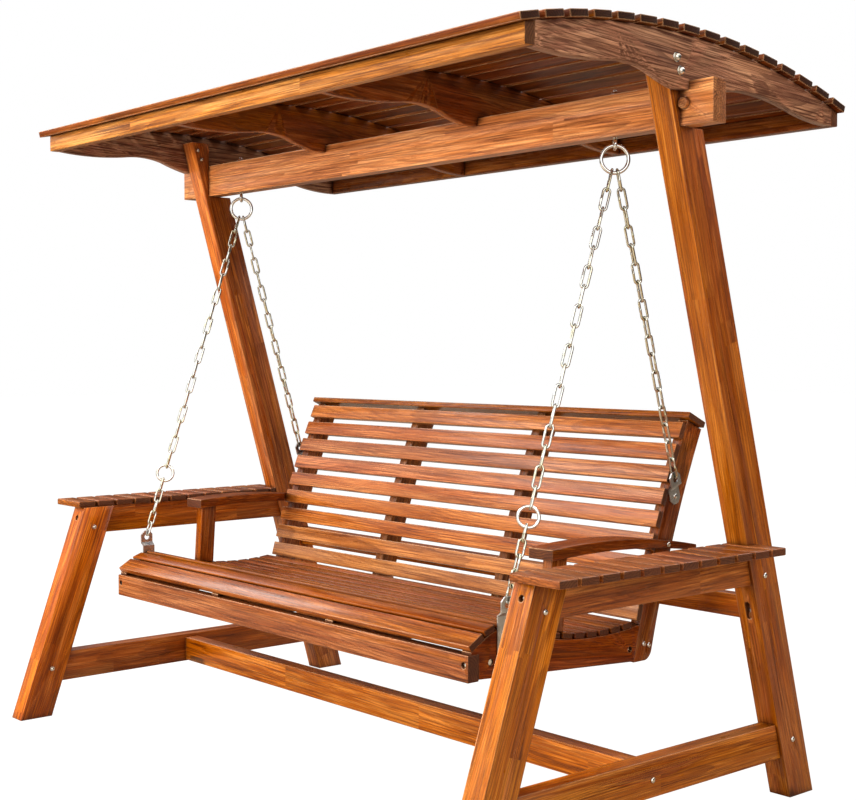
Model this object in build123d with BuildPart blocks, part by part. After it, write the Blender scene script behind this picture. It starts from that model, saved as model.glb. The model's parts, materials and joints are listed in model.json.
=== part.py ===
"""Free-standing wooden garden swing: two A-shaped side frames, roof beam, slatted roof, hanging bench.

Millimetres. +X is the bench's length to the right, -Y is the front, +Z is up.
The origin is on the floor, at the middle of the footprint.
"""
from build123d import *
from math import asin, cos, degrees, hypot, radians, sin, sqrt, tan
import os

os.makedirs("parts", exist_ok=True)

# clearances
seat_gap = 0.3            # between pieces that rest on each other
hole_gap = 0.3            # round a shank or a tenon

# side frames
frame_half = 994.0        # outer face of a side frame from the middle
frame_t = 60.0            # thickness of legs and posts along X
leg_width = 99.0          # measured level
leg_foot_y = -618.0       # front edge on the floor
leg_top_y = -406.0        # front edge under the tray
leg_height = 617.0
post_width = 94.0         # measured level
post_foot_y = 475.0
post_slope = 0.2823       # run towards the front for each mm of height
post_over = 71.0          # above the beam
cheek_t = 15.0            # post in front of the beam, at the beam's underside
rail_t = 45.0
rail_bare = (frame_t - rail_t) / 2
tray_rail_h = 80.0
foot_rail_z = 100.0
foot_rail_h = 86.0
tenon_t = 28.0
tenon_step = 9.0          # shoulder above and below a tenon
tenon_len = 66.0

# cross members
stretcher_y = -30.0
stretcher_t = 44.0
stretcher_z = 104.0
stretcher_h = 72.0
stretcher_bolt_len = 70.0
cross_rail_t = 34.0
cross_rail_z = 438.0
cross_rail_h = 56.0
cross_rail_inset = 10.0   # from the posts' rear face
cross_rail_tenon = 44.0
pocket_w = 15.0           # slot in a post's front face for the cross rail's screw
pocket_run = 28.0         # between the middles of its two round ends
pocket_sink = 12.0        # depth at mid height
pocket_screw_len = 75.0
pocket_share = 0.6        # height of its screw in the cross rail

# beam
beam_over = 91.0          # beyond the side frames' outer faces
beam_t = 44.0
beam_z = 1588.0
beam_h = 96.0
peg_r = 12.0
peg_proud = 12.0

# roof
roof_r = 2000.0           # radius of the rafters' top edge
roof_axis_run = 109.0     # crown ahead of the beam's middle
roof_rise = 100.0         # crown above the beam
rafter_t = 25.0
rafter_inner_x = 322.0
rafter_front_run = 501.0  # from the beam's middle
rafter_rear_run = 518.0
rafter_lobe = 20.0        # how far a lobe hangs below the beam's top
# lower edge from each lobe outwards: run from the beam's face, rise from its top
rafter_front_curve = ((43, -20), (88, -8), (131, 7), (195, 17), (257, 13), (372, 5))
rafter_rear_curve = ((389, -34), (329, -21), (244, -6), (144, -1), (86, -9), (43, -20))
fascia_t = 28.0
fascia_front_rise = 10.0  # lower edge from the beam's top
fascia_rear_rise = -44.0
roof_slat_n = 16
roof_slat_w = 54.0
roof_slat_t = 17.0
roof_over_front = 26.0
roof_over_rear = 5.0
roof_over_side = 16.0

# side trays
tray_n = 12
tray_slat_w = 54.0
tray_slat_t = 18.0
tray_front_y = -423.0
tray_rear_y = 330.0
tray_over = 85.0          # beyond the side frame's outer face

# hanger and chain
eye_wire_r = 4.0
eye_r = 11.0              # centre line of the eye
eye_shank_r = 5.0
washer_r = 14.0
hanger_nut_r = 9.5
washer_t = 2.5
ring_wire_r = 4.5
ring_r = 32.0             # centre line of the hanger ring
ring_turn = 40.0          # degrees, eye and ring turned about the vertical
mid_ring_wire_r = 4.0
mid_ring_r = 24.0
mid_ring_drop = 831.0     # hanger ring to the mid ring's centre, along the front chain
link_wire_r = 3.0
link_inner_w = 10.0
link_pitch = 46.0         # nominal
lower_pitch = 36.0        # below the mid ring
chain_clear = 3.0         # between the chain and the bench's side
bend_sides = 12           # flats round a ring
link_sides = 4            # flats round a link's bar
shank_sides = 6           # flats round a bar or its hole
head_sides = 8            # flats round a head or a washer
peg_sides = 16

# bench
bench_half = 768.0
bench_t = 30.0            # thickness of side members and uprights
bench_inner_x = 256.0     # centre of the inner pair of seat bearers and uprights
front_rail_y = -385.0
front_rail_t = 32.0
front_rail_h = 60.0
front_rail_drop = 6.0     # its top under the nose's tip
rail_bolt_share = 0.62    # height of the corner bolt in the rail
member_rise = 29.0        # underside at the upright, below the front rail's
scoop_r = 909.0           # hollow of the seat
scoop_y = 39.0            # lowest place
scoop_low_z = 420.0
hump_y = -262.0           # where the scoop turns over into the hump
hump_rise = 4.0
nose_top_y = -333.0
nose_top_drop = 8.3       # below the hump
nose_tip_y = -376.0
nose_tip_drop = 26.0      # below the nose's top
seat_rear_y = 150.0
seat_slat_n = 12
seat_slat_w = 33.0
seat_slat_t = 15.0
nose_slat_w = 46.0
rear_rail_y = 127.0
rear_rail_t = 28.0
rear_rail_rise = 4.0      # above the members' rear underside
rear_rail_h = 58.0
back_axis_y = 3077.0      # the uprights are arcs about this line
back_axis_z = -339.0
back_r = 3000.0           # front edge of the uprights
upright_w = 58.0
heel_r = 23.0
upright_top_deg = 24.8
lap_over = 5.0            # top of the lap above the hollow's lowest place
lap_screw_runs = (36.0, 54.0)
lap_screw_rises = (40.0, 35.0)
back_slat_n = 9
back_slat_w = 41.0
back_slat_t = 16.0
back_slat_top_deg = 24.2
back_slat_pitch = 1.10    # degrees
cap_w = 68.0
cap_t = 16.0
cap_over = 14.0           # beyond the bench's sides

# armrests
arm_in_x = 705.0
arm_out_x = 782.0
arm_front_y = -139.0
arm_rear_y = 372.0
arm_top_z = 640.0
arm_rise = 6.0
arm_drop = 30.0           # rear end below the front end
arm_t = 25.0
arm_rear_t = 15.0
arm_post_w = 50.0
arm_post_x = 745.0
arm_post_t = 30.0
arm_post_top_y = -117.0   # front edge under the arm
arm_post_foot_y = -131.0  # front edge on the seat
arm_post_depth = 20.0     # blank below the hollow's front edge, before the foot is shaped
arm_taper_run = 45.0
arm_screw_drop = 21.0

# brackets
bracket_t = 4.0
bracket_w = 38.0
bracket_hole_r = 8.0
pin_gap = 0.4             # between a link and the edge of a bracket's hole
bracket_crank = 9.0       # length of the sloped part between the two flats
front_eye = (-281.0, 533.0)
front_lean = 0.0          # degrees, bracket's top towards the rear
front_drops = (82.0, 108.0)
rear_eye = (288.0, 777.0)
rear_lean = -16.4
rear_drops = (45.0,)

# fasteners
bolt_r = 4.0
bolt_head_r = 6.5
bolt_head_h = 4.5
leg_bolt_len = 100.0      # from a leg's front face into the tray rail
leg_bolt_sink = 11.0
leg_bolt_share = 0.6      # height of the bolt in the tray rail
rafter_head_r = 8.5
rafter_head_h = 8.0
rafter_bolt_rises = (45.0, 17.0)
rafter_bolt_insets = (10.0, 16.0)
wood_washer_r = 11.0
wood_washer_t = 1.6
nut_r = 7.5
nut_h = 6.5
small_bolt_r = 3.0
small_head_r = 6.0
small_head_h = 3.5
bracket_screw_len = 30.0
sink = 8.0                # depth of a counterbore
rail_screw_len = 46.0
cross_dowel_r = 7.0
cross_dowel_half = 12.0
dowel_depth = 36.0        # behind the front rail

# sizes that follow
frame_in = frame_half - frame_t
rail_in = frame_in + rail_bare
rail_mid = frame_half - frame_t / 2
beam_half = frame_half + beam_over
beam_front = post_foot_y - post_slope * beam_z + cheek_t
beam_y = beam_front + beam_t / 2
beam_rear = beam_front + beam_t
beam_top = beam_z + beam_h
post_height = beam_top + post_over
roof_axis_y = beam_y - roof_axis_run
roof_crown_z = beam_top + roof_rise
roof_axis_z = roof_crown_z - roof_r
rafter_front_y = beam_y - rafter_front_run
rafter_rear_y = beam_y + rafter_rear_run
rafter_out_x = frame_half + seat_gap + rafter_t
fascia_front_z = beam_top + fascia_front_rise
fascia_rear_z = beam_top + fascia_rear_rise
link_flat = link_inner_w / 2 + link_wire_r
hang_x = bench_half + link_flat + link_wire_r + chain_clear
eye_z = beam_z - seat_gap - eye_r - eye_wire_r
hinge_z = eye_z - eye_r
# the ring's outline has a corner at its top, where it rests on the eye
ring_inner_top = (ring_r - ring_wire_r) / cos(radians(180 / bend_sides))
ring_z = hinge_z + eye_wire_r + seat_gap - ring_inner_top
lap_x = bench_half - bench_t / 2


def leg_front(z):
    """Front edge of a front leg at a height."""
    return leg_foot_y + (leg_top_y - leg_foot_y) * z / leg_height


def post_front(z):
    """Front edge of a rear post at a height."""
    return post_foot_y - post_slope * z


def roof_at(y):
    """Height of the rafters' top edge."""
    return roof_axis_z + sqrt(roof_r ** 2 - (y - roof_axis_y) ** 2)


def scoop_at(y):
    """Height of the seat members' hollowed top edge."""
    return scoop_low_z + scoop_r - sqrt(scoop_r ** 2 - (y - scoop_y) ** 2)


def back_point(radius, angle):
    """Point in the YZ plane on an arc of the bench back."""
    return (back_axis_y - radius * cos(radians(angle)), back_axis_z + radius * sin(radians(angle)))


def back_angle(radius, z):
    """Angle at which an arc of the bench back reaches a height."""
    return degrees(asin((z - back_axis_z) / radius))


def side_plane(x):
    """Plane whose local X is +Y and local Y is +Z, at a distance from the middle."""
    return Plane(origin=(x, 0, 0), x_dir=(0, 1, 0), z_dir=(1, 0, 0))


def rod(start, end, radius, sides=shank_sides):
    """Round bar between two points of the part being built, its corners on the radius."""
    run = Vector(*end) - Vector(*start)
    with BuildSketch(Plane(origin=start, z_dir=run)) as section:
        RegularPolygon(radius, sides)
    extrude(section.sketch, amount=run.length)


def drill(start, end, radius, sides=shank_sides):
    """Round hole between two points of the part being built, its flats on the radius."""
    run = Vector(*end) - Vector(*start)
    with BuildSketch(Plane(origin=start, z_dir=run)) as section:
        RegularPolygon(radius, sides, major_radius=False)
    extrude(section.sketch, amount=run.length, mode=Mode.SUBTRACT)


def board(x0, x1, y0, y1, z0, z1, mode=Mode.ADD):
    """Rectangular board, or a cut, between six faces in the part being built."""
    with Locations(((x0 + x1) / 2, (y0 + y1) / 2, (z0 + z1) / 2)):
        Box(x1 - x0, y1 - y0, z1 - z0, mode=mode)


def screw(seat, inward, shank_len, shank_r, head_r, head_h):
    """Round-headed screw or bolt of the part being built, its head standing on a seat."""
    axis = Vector(*inward)
    rod(Vector(*seat) - axis * head_h, seat, head_r, head_sides)
    rod(seat, Vector(*seat) + axis * shank_len, shank_r)


def washer(seat, outward):
    """Flat washer of the part being built, on a seat."""
    with BuildSketch(Plane(origin=seat, z_dir=outward)) as ring:
        RegularPolygon(wood_washer_r, head_sides)
        RegularPolygon(bolt_r + hole_gap, shank_sides, major_radius=False, mode=Mode.SUBTRACT)
    extrude(ring.sketch, amount=wood_washer_t)


def nut(seat, outward, across_r, hole_r, height):
    """Six-sided nut of the part being built, on a seat."""
    with BuildSketch(Plane(origin=seat, z_dir=outward)) as ring:
        RegularPolygon(across_r, 6)
        RegularPolygon(hole_r, shank_sides, major_radius=False, mode=Mode.SUBTRACT)
    extrude(ring.sketch, amount=height)


def wire_loop(outline, wire_r, sides):
    """Closed loop of bar round a flat outline on its centre line, mitred at each corner."""
    path = outline.wire()
    section = Plane(origin=path @ 0, x_dir=Vector(0, 0, 1).cross(path % 0), z_dir=path % 0)
    with BuildPart() as loop:
        with BuildSketch(section):
            RegularPolygon(wire_r, sides)
        sweep(path=path, transition=Transition.RIGHT)
    return loop.part


def ring_loop(centre_r, wire_r, turn=180 / bend_sides):
    """Ring of bar lying flat at the origin, by default with a flat on each axis."""
    with BuildSketch() as outline:
        RegularPolygon(centre_r, bend_sides, major_radius=False, rotation=turn)
    return wire_loop(outline.sketch, wire_r, shank_sides)


def chain_link(inner_len):
    """Long link lying flat at the origin, its length along local Y."""
    with BuildSketch() as outline:
        Rectangle(2 * link_flat, inner_len + 2 * link_wire_r)
        chamfer(outline.vertices(), link_flat * (1 - tan(radians(22.5))))
    return wire_loop(outline.sketch, link_wire_r, link_sides)


def square_to(direction, along):
    """Unit vector nearest a direction, square to a chain."""
    return (direction - along * direction.dot(along)).normalized()


def chain_leg(start, end, start_across, end_across, start_hook, end_hook, pitch):
    """Taut chain between two points, twisted evenly so that its end links lie across as asked.

    A hook is how far the end link reaches past its point. The number of links is odd, so that both
    end links lie the same way but for the twist.
    """
    run = end - start
    along = run.normalized()
    count = max(3, 2 * round((run.length / pitch - 1) / 2) + 1)
    inner = (run.length + start_hook + end_hook + (count - 1) * seat_gap) / count
    link = chain_link(inner)
    first = square_to(start_across, along)
    twist = first.get_signed_angle(square_to(end_across, along), along)
    links = []
    for i in range(count):
        reach = inner / 2 - start_hook + i * (inner - seat_gap)
        turn = 90 * (i % 2) + twist * i / (count - 1)
        across = first.rotate(Axis((0, 0, 0), along), turn)
        place = Plane(origin=start + along * reach, x_dir=across, z_dir=across.cross(along))
        links.append(link.moved(place.location))
    return links


# ---------------------------------------------------------------- side frames
foot_rail_top = foot_rail_z + foot_rail_h
tray_rail_z = leg_height - tray_rail_h
pin_high = tray_rail_z + tray_rail_h / 4
pin_low = foot_rail_z + foot_rail_h / 2
leg_pins = (
    (leg_front(pin_high) + leg_width / 2, pin_high),
    (leg_front(pin_low) + leg_width / 2, pin_low),
)
post_pins = (
    (post_front(pin_high) + post_width / 2, pin_high),
    (post_front(pin_low) + post_width / 2, pin_low),
)
leg_bolt_z = tray_rail_z + tray_rail_h * leg_bolt_share
leg_bolt_y = leg_front(leg_bolt_z) + leg_bolt_sink


def side_rail(z0, z1, pins):
    """Side rail whose shoulders follow the lean of the leg and the post, with a tenon at each end."""
    with BuildSketch(side_plane(rail_in)) as face:
        Polygon(
            (leg_front(z0) + leg_width + seat_gap, z0),
            (post_front(z0) - seat_gap, z0),
            (post_front(z1) - seat_gap, z1),
            (leg_front(z1) + leg_width + seat_gap, z1),
            align=None,
        )
    extrude(face.sketch, amount=rail_t)
    with BuildSketch(side_plane(rail_mid - tenon_t / 2)) as tongue:
        Polygon(*tenon_outline(z0 + tenon_step, z1 - tenon_step, 0), align=None)
    extrude(tongue.sketch, amount=tenon_t)
    for y, z in pins:
        drill((frame_in, y, z), (frame_half, y, z), bolt_r + hole_gap)


def tenon_outline(z0, z1, grow):
    """Side view of a rail's two tenons and the stretch between them."""
    corners = []
    for z in (z0 - grow, z1 + grow):
        front = leg_front(z) + leg_width - tenon_len - grow
        rear = post_front(z) + tenon_len + grow
        corners.append((front, rear))
    return (
        (corners[0][0], z0 - grow),
        (corners[0][1], z0 - grow),
        (corners[1][1], z1 + grow),
        (corners[1][0], z1 + grow),
    )


def mortise(pins):
    """Cut the two rails' mortises and their bolt holes in the leg or post being built."""
    for z0, z1 in ((foot_rail_z, foot_rail_top), (tray_rail_z, leg_height)):
        with BuildSketch(side_plane(rail_mid - tenon_t / 2 - hole_gap)) as slot:
            Polygon(*tenon_outline(z0 + tenon_step, z1 - tenon_step, hole_gap), align=None)
        extrude(slot.sketch, amount=tenon_t + 2 * hole_gap, mode=Mode.SUBTRACT)
    for y, z in pins:
        drill((frame_in - 1, y, z), (frame_half + 1, y, z), bolt_r + hole_gap)


with BuildPart() as front_leg_right:
    with BuildSketch(side_plane(frame_in)):
        Polygon(
            (leg_foot_y, 0),
            (leg_foot_y + leg_width, 0),
            (leg_top_y + leg_width, leg_height),
            (leg_top_y, leg_height),
            align=None,
        )
    extrude(amount=frame_t)
    mortise(leg_pins)
    # counterbored bolt into the end of the tray rail
    drill(
        (rail_mid, leg_bolt_y - 2 * leg_bolt_sink, leg_bolt_z),
        (rail_mid, leg_bolt_y, leg_bolt_z),
        bolt_head_r + 1,
        head_sides,
    )
    drill(
        (rail_mid, leg_bolt_y, leg_bolt_z),
        (rail_mid, leg_bolt_y + leg_bolt_len + 1, leg_bolt_z),
        bolt_r + hole_gap,
    )
front_leg_right.part.label = "front_leg_right"

with BuildPart() as front_leg_left:
    add(front_leg_right.part.mirror(Plane.YZ))
front_leg_left.part.label = "front_leg_left"

# the post's top is cut away behind a front cheek, and the beam sits in the cut
cross_rail_y = post_front(cross_rail_z) + post_width - cross_rail_t - cross_rail_inset
rafter_bolts_at = []
for rise, inset in zip(rafter_bolt_rises, rafter_bolt_insets):
    rafter_bolts_at.append((post_front(beam_top + rise) + inset, beam_top + rise))
pocket_z = cross_rail_z + cross_rail_h * pocket_share
pocket_y = post_front(pocket_z) + pocket_sink
pocket_plane = Plane(origin=(rail_mid, pocket_y, pocket_z), x_dir=(1, 0, 0), z_dir=(0, -1, 0))
with BuildPart() as rear_post_right:
    with BuildSketch(side_plane(frame_in)):
        Polygon(
            (post_foot_y, 0),
            (post_foot_y + post_width, 0),
            (post_front(post_height) + post_width, post_height),
            (post_front(post_height), post_height),
            align=None,
        )
    extrude(amount=frame_t)
    mortise(post_pins)
    board(
        frame_in - 1,
        frame_half + 1,
        beam_front - seat_gap,
        beam_y + 2 * post_width,
        beam_z - seat_gap,
        post_height + 1,
        mode=Mode.SUBTRACT,
    )
    board(
        frame_in - 1,
        frame_in + cross_rail_tenon + hole_gap,
        cross_rail_y - hole_gap,
        cross_rail_y + cross_rail_t + hole_gap,
        cross_rail_z - hole_gap,
        cross_rail_z + cross_rail_h + hole_gap,
        mode=Mode.SUBTRACT,
    )
    for y, z in rafter_bolts_at:
        drill((frame_in - 1, y, z), (frame_half + 1, y, z), bolt_r + hole_gap)
    # upright pocket in the front face, with the screw that holds the cross rail's tenon
    with BuildSketch(pocket_plane) as slot:
        with Locations((0, -pocket_run / 2), (0, pocket_run / 2)):
            RegularPolygon(pocket_w / 2, head_sides, major_radius=False, rotation=22.5)
        make_hull()
    extrude(slot.sketch, amount=2 * pocket_sink, mode=Mode.SUBTRACT)
    drill(
        (rail_mid, pocket_y, pocket_z),
        (rail_mid, pocket_y + pocket_screw_len + 1, pocket_z),
        small_bolt_r + hole_gap,
    )
rear_post_right.part.label = "rear_post_right"

with BuildPart() as rear_post_left:
    add(rear_post_right.part.mirror(Plane.YZ))
rear_post_left.part.label = "rear_post_left"

with BuildPart() as tray_rail_right:
    side_rail(tray_rail_z, leg_height, (leg_pins[0], post_pins[0]))
    drill(
        (rail_mid, leg_bolt_y, leg_bolt_z),
        (rail_mid, leg_bolt_y + leg_bolt_len + 1, leg_bolt_z),
        bolt_r + hole_gap,
    )
tray_rail_right.part.label = "tray_rail_right"

with BuildPart() as tray_rail_left:
    add(tray_rail_right.part.mirror(Plane.YZ))
tray_rail_left.part.label = "tray_rail_left"

stretcher_mid_z = stretcher_z + stretcher_h / 2
with BuildPart() as foot_rail_right:
    side_rail(foot_rail_z, foot_rail_top, (leg_pins[1], post_pins[1]))
    drill(
        (rail_in - 1, stretcher_y, stretcher_mid_z),
        (frame_half, stretcher_y, stretcher_mid_z),
        bolt_r + hole_gap,
    )
foot_rail_right.part.label = "foot_rail_right"

with BuildPart() as foot_rail_left:
    add(foot_rail_right.part.mirror(Plane.YZ))
foot_rail_left.part.label = "foot_rail_left"

# ---------------------------------------------------------------- cross members
stretcher_end = rail_in - seat_gap
stretcher_nut_x = stretcher_end - 0.7 * stretcher_bolt_len
with BuildPart() as centre_stretcher:
    board(
        -stretcher_end,
        stretcher_end,
        stretcher_y - stretcher_t / 2,
        stretcher_y + stretcher_t / 2,
        stretcher_z,
        stretcher_z + stretcher_h,
    )
    for side in (-1, 1):
        drill(
            (side * (stretcher_end + 1), stretcher_y, stretcher_mid_z),
            (side * (stretcher_end - stretcher_bolt_len), stretcher_y, stretcher_mid_z),
            bolt_r + hole_gap,
        )
        drill(
            (side * stretcher_nut_x, stretcher_y, stretcher_z - 1),
            (side * stretcher_nut_x, stretcher_y, stretcher_mid_z + cross_dowel_half + hole_gap),
            cross_dowel_r + hole_gap,
        )
centre_stretcher.part.label = "centre_stretcher"

cross_rail_end = frame_in + cross_rail_tenon
with BuildPart() as rear_cross_rail:
    board(
        -cross_rail_end,
        cross_rail_end,
        cross_rail_y,
        cross_rail_y + cross_rail_t,
        cross_rail_z,
        cross_rail_z + cross_rail_h,
    )
    for x in (-rail_mid, rail_mid):
        drill(
            (x, cross_rail_y - 1, pocket_z),
            (x, pocket_y + pocket_screw_len + 1, pocket_z),
            small_bolt_r + hole_gap,
        )
rear_cross_rail.part.label = "rear_cross_rail"

# ---------------------------------------------------------------- beam
peg_x = frame_half + peg_r + 1.5
peg_z = beam_z + beam_h / 2
with BuildPart() as top_beam:
    board(-beam_half, beam_half, beam_front, beam_rear, beam_z, beam_top)
    for side in (-1, 1):
        drill(
            (side * hang_x, beam_y, beam_z - 1),
            (side * hang_x, beam_y, beam_top + 1),
            eye_shank_r + hole_gap,
        )
        drill(
            (side * peg_x, beam_front - 1, peg_z),
            (side * peg_x, beam_rear + 1, peg_z),
            peg_r + hole_gap,
            peg_sides,
        )
top_beam.part.label = "top_beam"

with BuildPart() as beam_pegs:
    for side in (-1, 1):
        rod(
            (side * peg_x, beam_front - peg_proud, peg_z),
            (side * peg_x, beam_rear + peg_proud, peg_z),
            peg_r,
            peg_sides,
        )
beam_pegs.part.label = "beam_pegs"

# ---------------------------------------------------------------- roof
lobe_z = beam_top - rafter_lobe
front_curve = [(beam_front - run, beam_top + rise) for run, rise in rafter_front_curve]
rear_curve = [(beam_rear + run, beam_top + rise) for run, rise in rafter_rear_curve]
with BuildPart() as rafter_blank:
    with BuildSketch(side_plane(0)):
        with BuildLine():
            front_y = rafter_front_y + seat_gap
            rear_y = rafter_rear_y - seat_gap
            crown = (roof_axis_y, roof_crown_z)
            ThreePointArc((front_y, roof_at(front_y)), crown, (rear_y, roof_at(rear_y)))
            Line((rear_y, roof_at(rear_y)), (rear_y, fascia_rear_z))
            ThreePointArc((rear_y, fascia_rear_z), *rear_curve[:2])
            ThreePointArc(*rear_curve[1:4])
            ThreePointArc(*rear_curve[3:])
            Line(rear_curve[-1], (beam_rear + seat_gap, lobe_z))
            Line((beam_rear + seat_gap, lobe_z), (beam_rear + seat_gap, beam_top + seat_gap))
            Line(
                (beam_rear + seat_gap, beam_top + seat_gap),
                (beam_front - seat_gap, beam_top + seat_gap),
            )
            Line((beam_front - seat_gap, beam_top + seat_gap), (beam_front - seat_gap, lobe_z))
            Line((beam_front - seat_gap, lobe_z), front_curve[0])
            ThreePointArc(*front_curve[:3])
            ThreePointArc(*front_curve[2:5])
            ThreePointArc(*front_curve[4:], (front_y, fascia_front_z))
            Line((front_y, fascia_front_z), (front_y, roof_at(front_y)))
        make_face()
    extrude(amount=rafter_t)

with BuildPart() as roof_rafter_end_right:
    add(rafter_blank.part.moved(Location((rafter_out_x - rafter_t, 0, 0))))
    for y, z in rafter_bolts_at:
        drill((frame_half, y, z), (rafter_out_x + 1, y, z), bolt_r + hole_gap)
roof_rafter_end_right.part.label = "roof_rafter_end_right"

with BuildPart() as roof_rafter_end_left:
    add(roof_rafter_end_right.part.mirror(Plane.YZ))
roof_rafter_end_left.part.label = "roof_rafter_end_left"

with BuildPart() as roof_rafter_inner_right:
    add(rafter_blank.part.moved(Location((rafter_inner_x - rafter_t / 2, 0, 0))))
roof_rafter_inner_right.part.label = "roof_rafter_inner_right"

with BuildPart() as roof_rafter_inner_left:
    add(rafter_blank.part.moved(Location((-rafter_inner_x - rafter_t / 2, 0, 0))))
roof_rafter_inner_left.part.label = "roof_rafter_inner_left"

with BuildPart() as front_fascia:
    with BuildSketch(side_plane(-rafter_out_x)):
        Polygon(
            (rafter_front_y - fascia_t, fascia_front_z),
            (rafter_front_y, fascia_front_z),
            (rafter_front_y, roof_at(rafter_front_y)),
            (rafter_front_y - fascia_t, roof_at(rafter_front_y - fascia_t)),
            align=None,
        )
    extrude(amount=2 * rafter_out_x)
front_fascia.part.label = "front_fascia"

with BuildPart() as rear_fascia:
    with BuildSketch(side_plane(-rafter_out_x)):
        Polygon(
            (rafter_rear_y, fascia_rear_z),
            (rafter_rear_y + fascia_t, fascia_rear_z),
            (rafter_rear_y + fascia_t, roof_at(rafter_rear_y + fascia_t)),
            (rafter_rear_y, roof_at(rafter_rear_y)),
            align=None,
        )
    extrude(amount=2 * rafter_out_x)
rear_fascia.part.label = "rear_fascia"

# slats lie tangent to the rafters' top edge, at an even angular pitch
roof_front_y = rafter_front_y - fascia_t - roof_over_front + roof_slat_w / 2
roof_rear_y = rafter_rear_y + fascia_t + roof_over_rear - roof_slat_w / 2
slat_seat_r = roof_r + seat_gap
roof_deg0 = degrees(asin((roof_front_y - roof_axis_y) / slat_seat_r))
roof_deg1 = degrees(asin((roof_rear_y - roof_axis_y) / slat_seat_r))
with BuildPart() as roof_slats:
    for i in range(roof_slat_n):
        tilt = roof_deg0 + (roof_deg1 - roof_deg0) * i / (roof_slat_n - 1)
        up = (0, sin(radians(tilt)), cos(radians(tilt)))
        foot = (0, roof_axis_y + slat_seat_r * up[1], roof_axis_z + slat_seat_r * up[2])
        with Locations(Plane(origin=foot, x_dir=(1, 0, 0), z_dir=up)):
            Box(
                2 * (rafter_out_x + roof_over_side),
                roof_slat_w,
                roof_slat_t,
                align=(Align.CENTER, Align.CENTER, Align.MIN),
            )
roof_slats.part.label = "roof_slats"

# ---------------------------------------------------------------- trays
tray_pitch = (tray_rear_y - tray_front_y - tray_slat_w) / (tray_n - 1)
tray_z = leg_height + seat_gap
with BuildPart() as tray_slats_right:
    for i in range(tray_n):
        y0 = tray_front_y + i * tray_pitch
        board(frame_in, frame_half + tray_over, y0, y0 + tray_slat_w, tray_z, tray_z + tray_slat_t)
    # the last slats are notched round the post
    board(
        frame_in - 1,
        frame_half + 2 * seat_gap,
        post_front(tray_z + tray_slat_t) - 2 * seat_gap,
        post_front(tray_z) + post_width + 2 * seat_gap,
        tray_z - 1,
        tray_z + tray_slat_t + 1,
        mode=Mode.SUBTRACT,
    )
tray_slats_right.part.label = "tray_slats_right"

with BuildPart() as tray_slats_left:
    add(tray_slats_right.part.mirror(Plane.YZ))
tray_slats_left.part.label = "tray_slats_left"

# ---------------------------------------------------------------- hanger eyes
ring_facing = Vector(cos(radians(ring_turn)), -sin(radians(ring_turn)), 0)
eye_facing = Vector(sin(radians(ring_turn)), cos(radians(ring_turn)), 0)
nut_z = beam_top + washer_t + 2 * seat_gap
with BuildPart() as hanger_eye_bolts:
    for side in (-1, 1):
        place = Plane(origin=(side * hang_x, beam_y, eye_z), x_dir=ring_facing, z_dir=eye_facing)
        add(ring_loop(eye_r, eye_wire_r).moved(place.location))
        rod(
            (side * hang_x, beam_y, eye_z + eye_r),
            (side * hang_x, beam_y, nut_z + nut_h + 4),
            eye_shank_r,
        )
hanger_eye_bolts.part.label = "hanger_eye_bolts"

with BuildPart() as hanger_washers:
    with BuildSketch(Plane.XY.offset(beam_top + seat_gap)) as discs:
        with Locations((-hang_x, beam_y), (hang_x, beam_y)):
            RegularPolygon(washer_r, head_sides)
            RegularPolygon(
                eye_shank_r + hole_gap, shank_sides, major_radius=False, mode=Mode.SUBTRACT
            )
    extrude(discs.sketch, amount=washer_t)
hanger_washers.part.label = "hanger_washers"

with BuildPart() as hanger_nuts:
    for side in (-1, 1):
        nut((side * hang_x, beam_y, nut_z), (0, 0, 1), hanger_nut_r, eye_shank_r + hole_gap, nut_h)
hanger_nuts.part.label = "hanger_nuts"

# ---------------------------------------------------------------- rings and chains
ring_centre = Vector(hang_x, beam_y, ring_z)
ring_place = Plane(origin=ring_centre, x_dir=eye_facing, z_dir=ring_facing)
to_left = Location((-2 * hang_x, 0, 0))
with BuildPart() as hanger_rings:
    hanger_ring = ring_loop(ring_r, ring_wire_r, turn=0).moved(ring_place.location)
    add(hanger_ring)
    add(hanger_ring.moved(to_left))
hanger_rings.part.label = "hanger_rings"

pin_back = bracket_hole_r - link_wire_r - pin_gap
ring_hook = ring_wire_r + seat_gap
mid_hook = mid_ring_wire_r + seat_gap
pin_hook = -link_wire_r


def ring_grip(eye):
    """Where a chain that goes to a bracket's eye takes hold of the hanger ring."""
    pull = Vector(hang_x, *eye) - ring_centre
    return ring_centre + square_to(pull, ring_facing) * ring_r


def pin_grip(eye, start):
    """Where the last link of a chain lies in the hole of a bracket's eye."""
    hole = Vector(hang_x, *eye)
    back = (Vector(hang_x, start.Y, start.Z) - hole).normalized()
    return hole + back * pin_back


# the front chain hangs straight from the hanger ring to the front bracket, with a ring let into it
front_start = ring_grip(front_eye)
front_end = pin_grip(front_eye, front_start)
front_along = (front_end - front_start).normalized()
mid_centre = front_start + front_along * mid_ring_drop
mid_facing = square_to(ring_facing, front_along)
side_facing = Vector(1, 0, 0)
with BuildPart() as chain_front_right:
    mid_top = mid_centre - front_along * mid_ring_r
    add(chain_leg(front_start, mid_top, ring_facing, mid_facing, ring_hook, mid_hook, link_pitch))
    mid_low = mid_centre + front_along * mid_ring_r
    add(chain_leg(mid_low, front_end, mid_facing, side_facing, mid_hook, pin_hook, lower_pitch))
chain_front_right.part.label = "chain_front_right"

with BuildPart() as chain_front_left:
    add(chain_front_right.part.moved(to_left))
chain_front_left.part.label = "chain_front_left"

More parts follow.
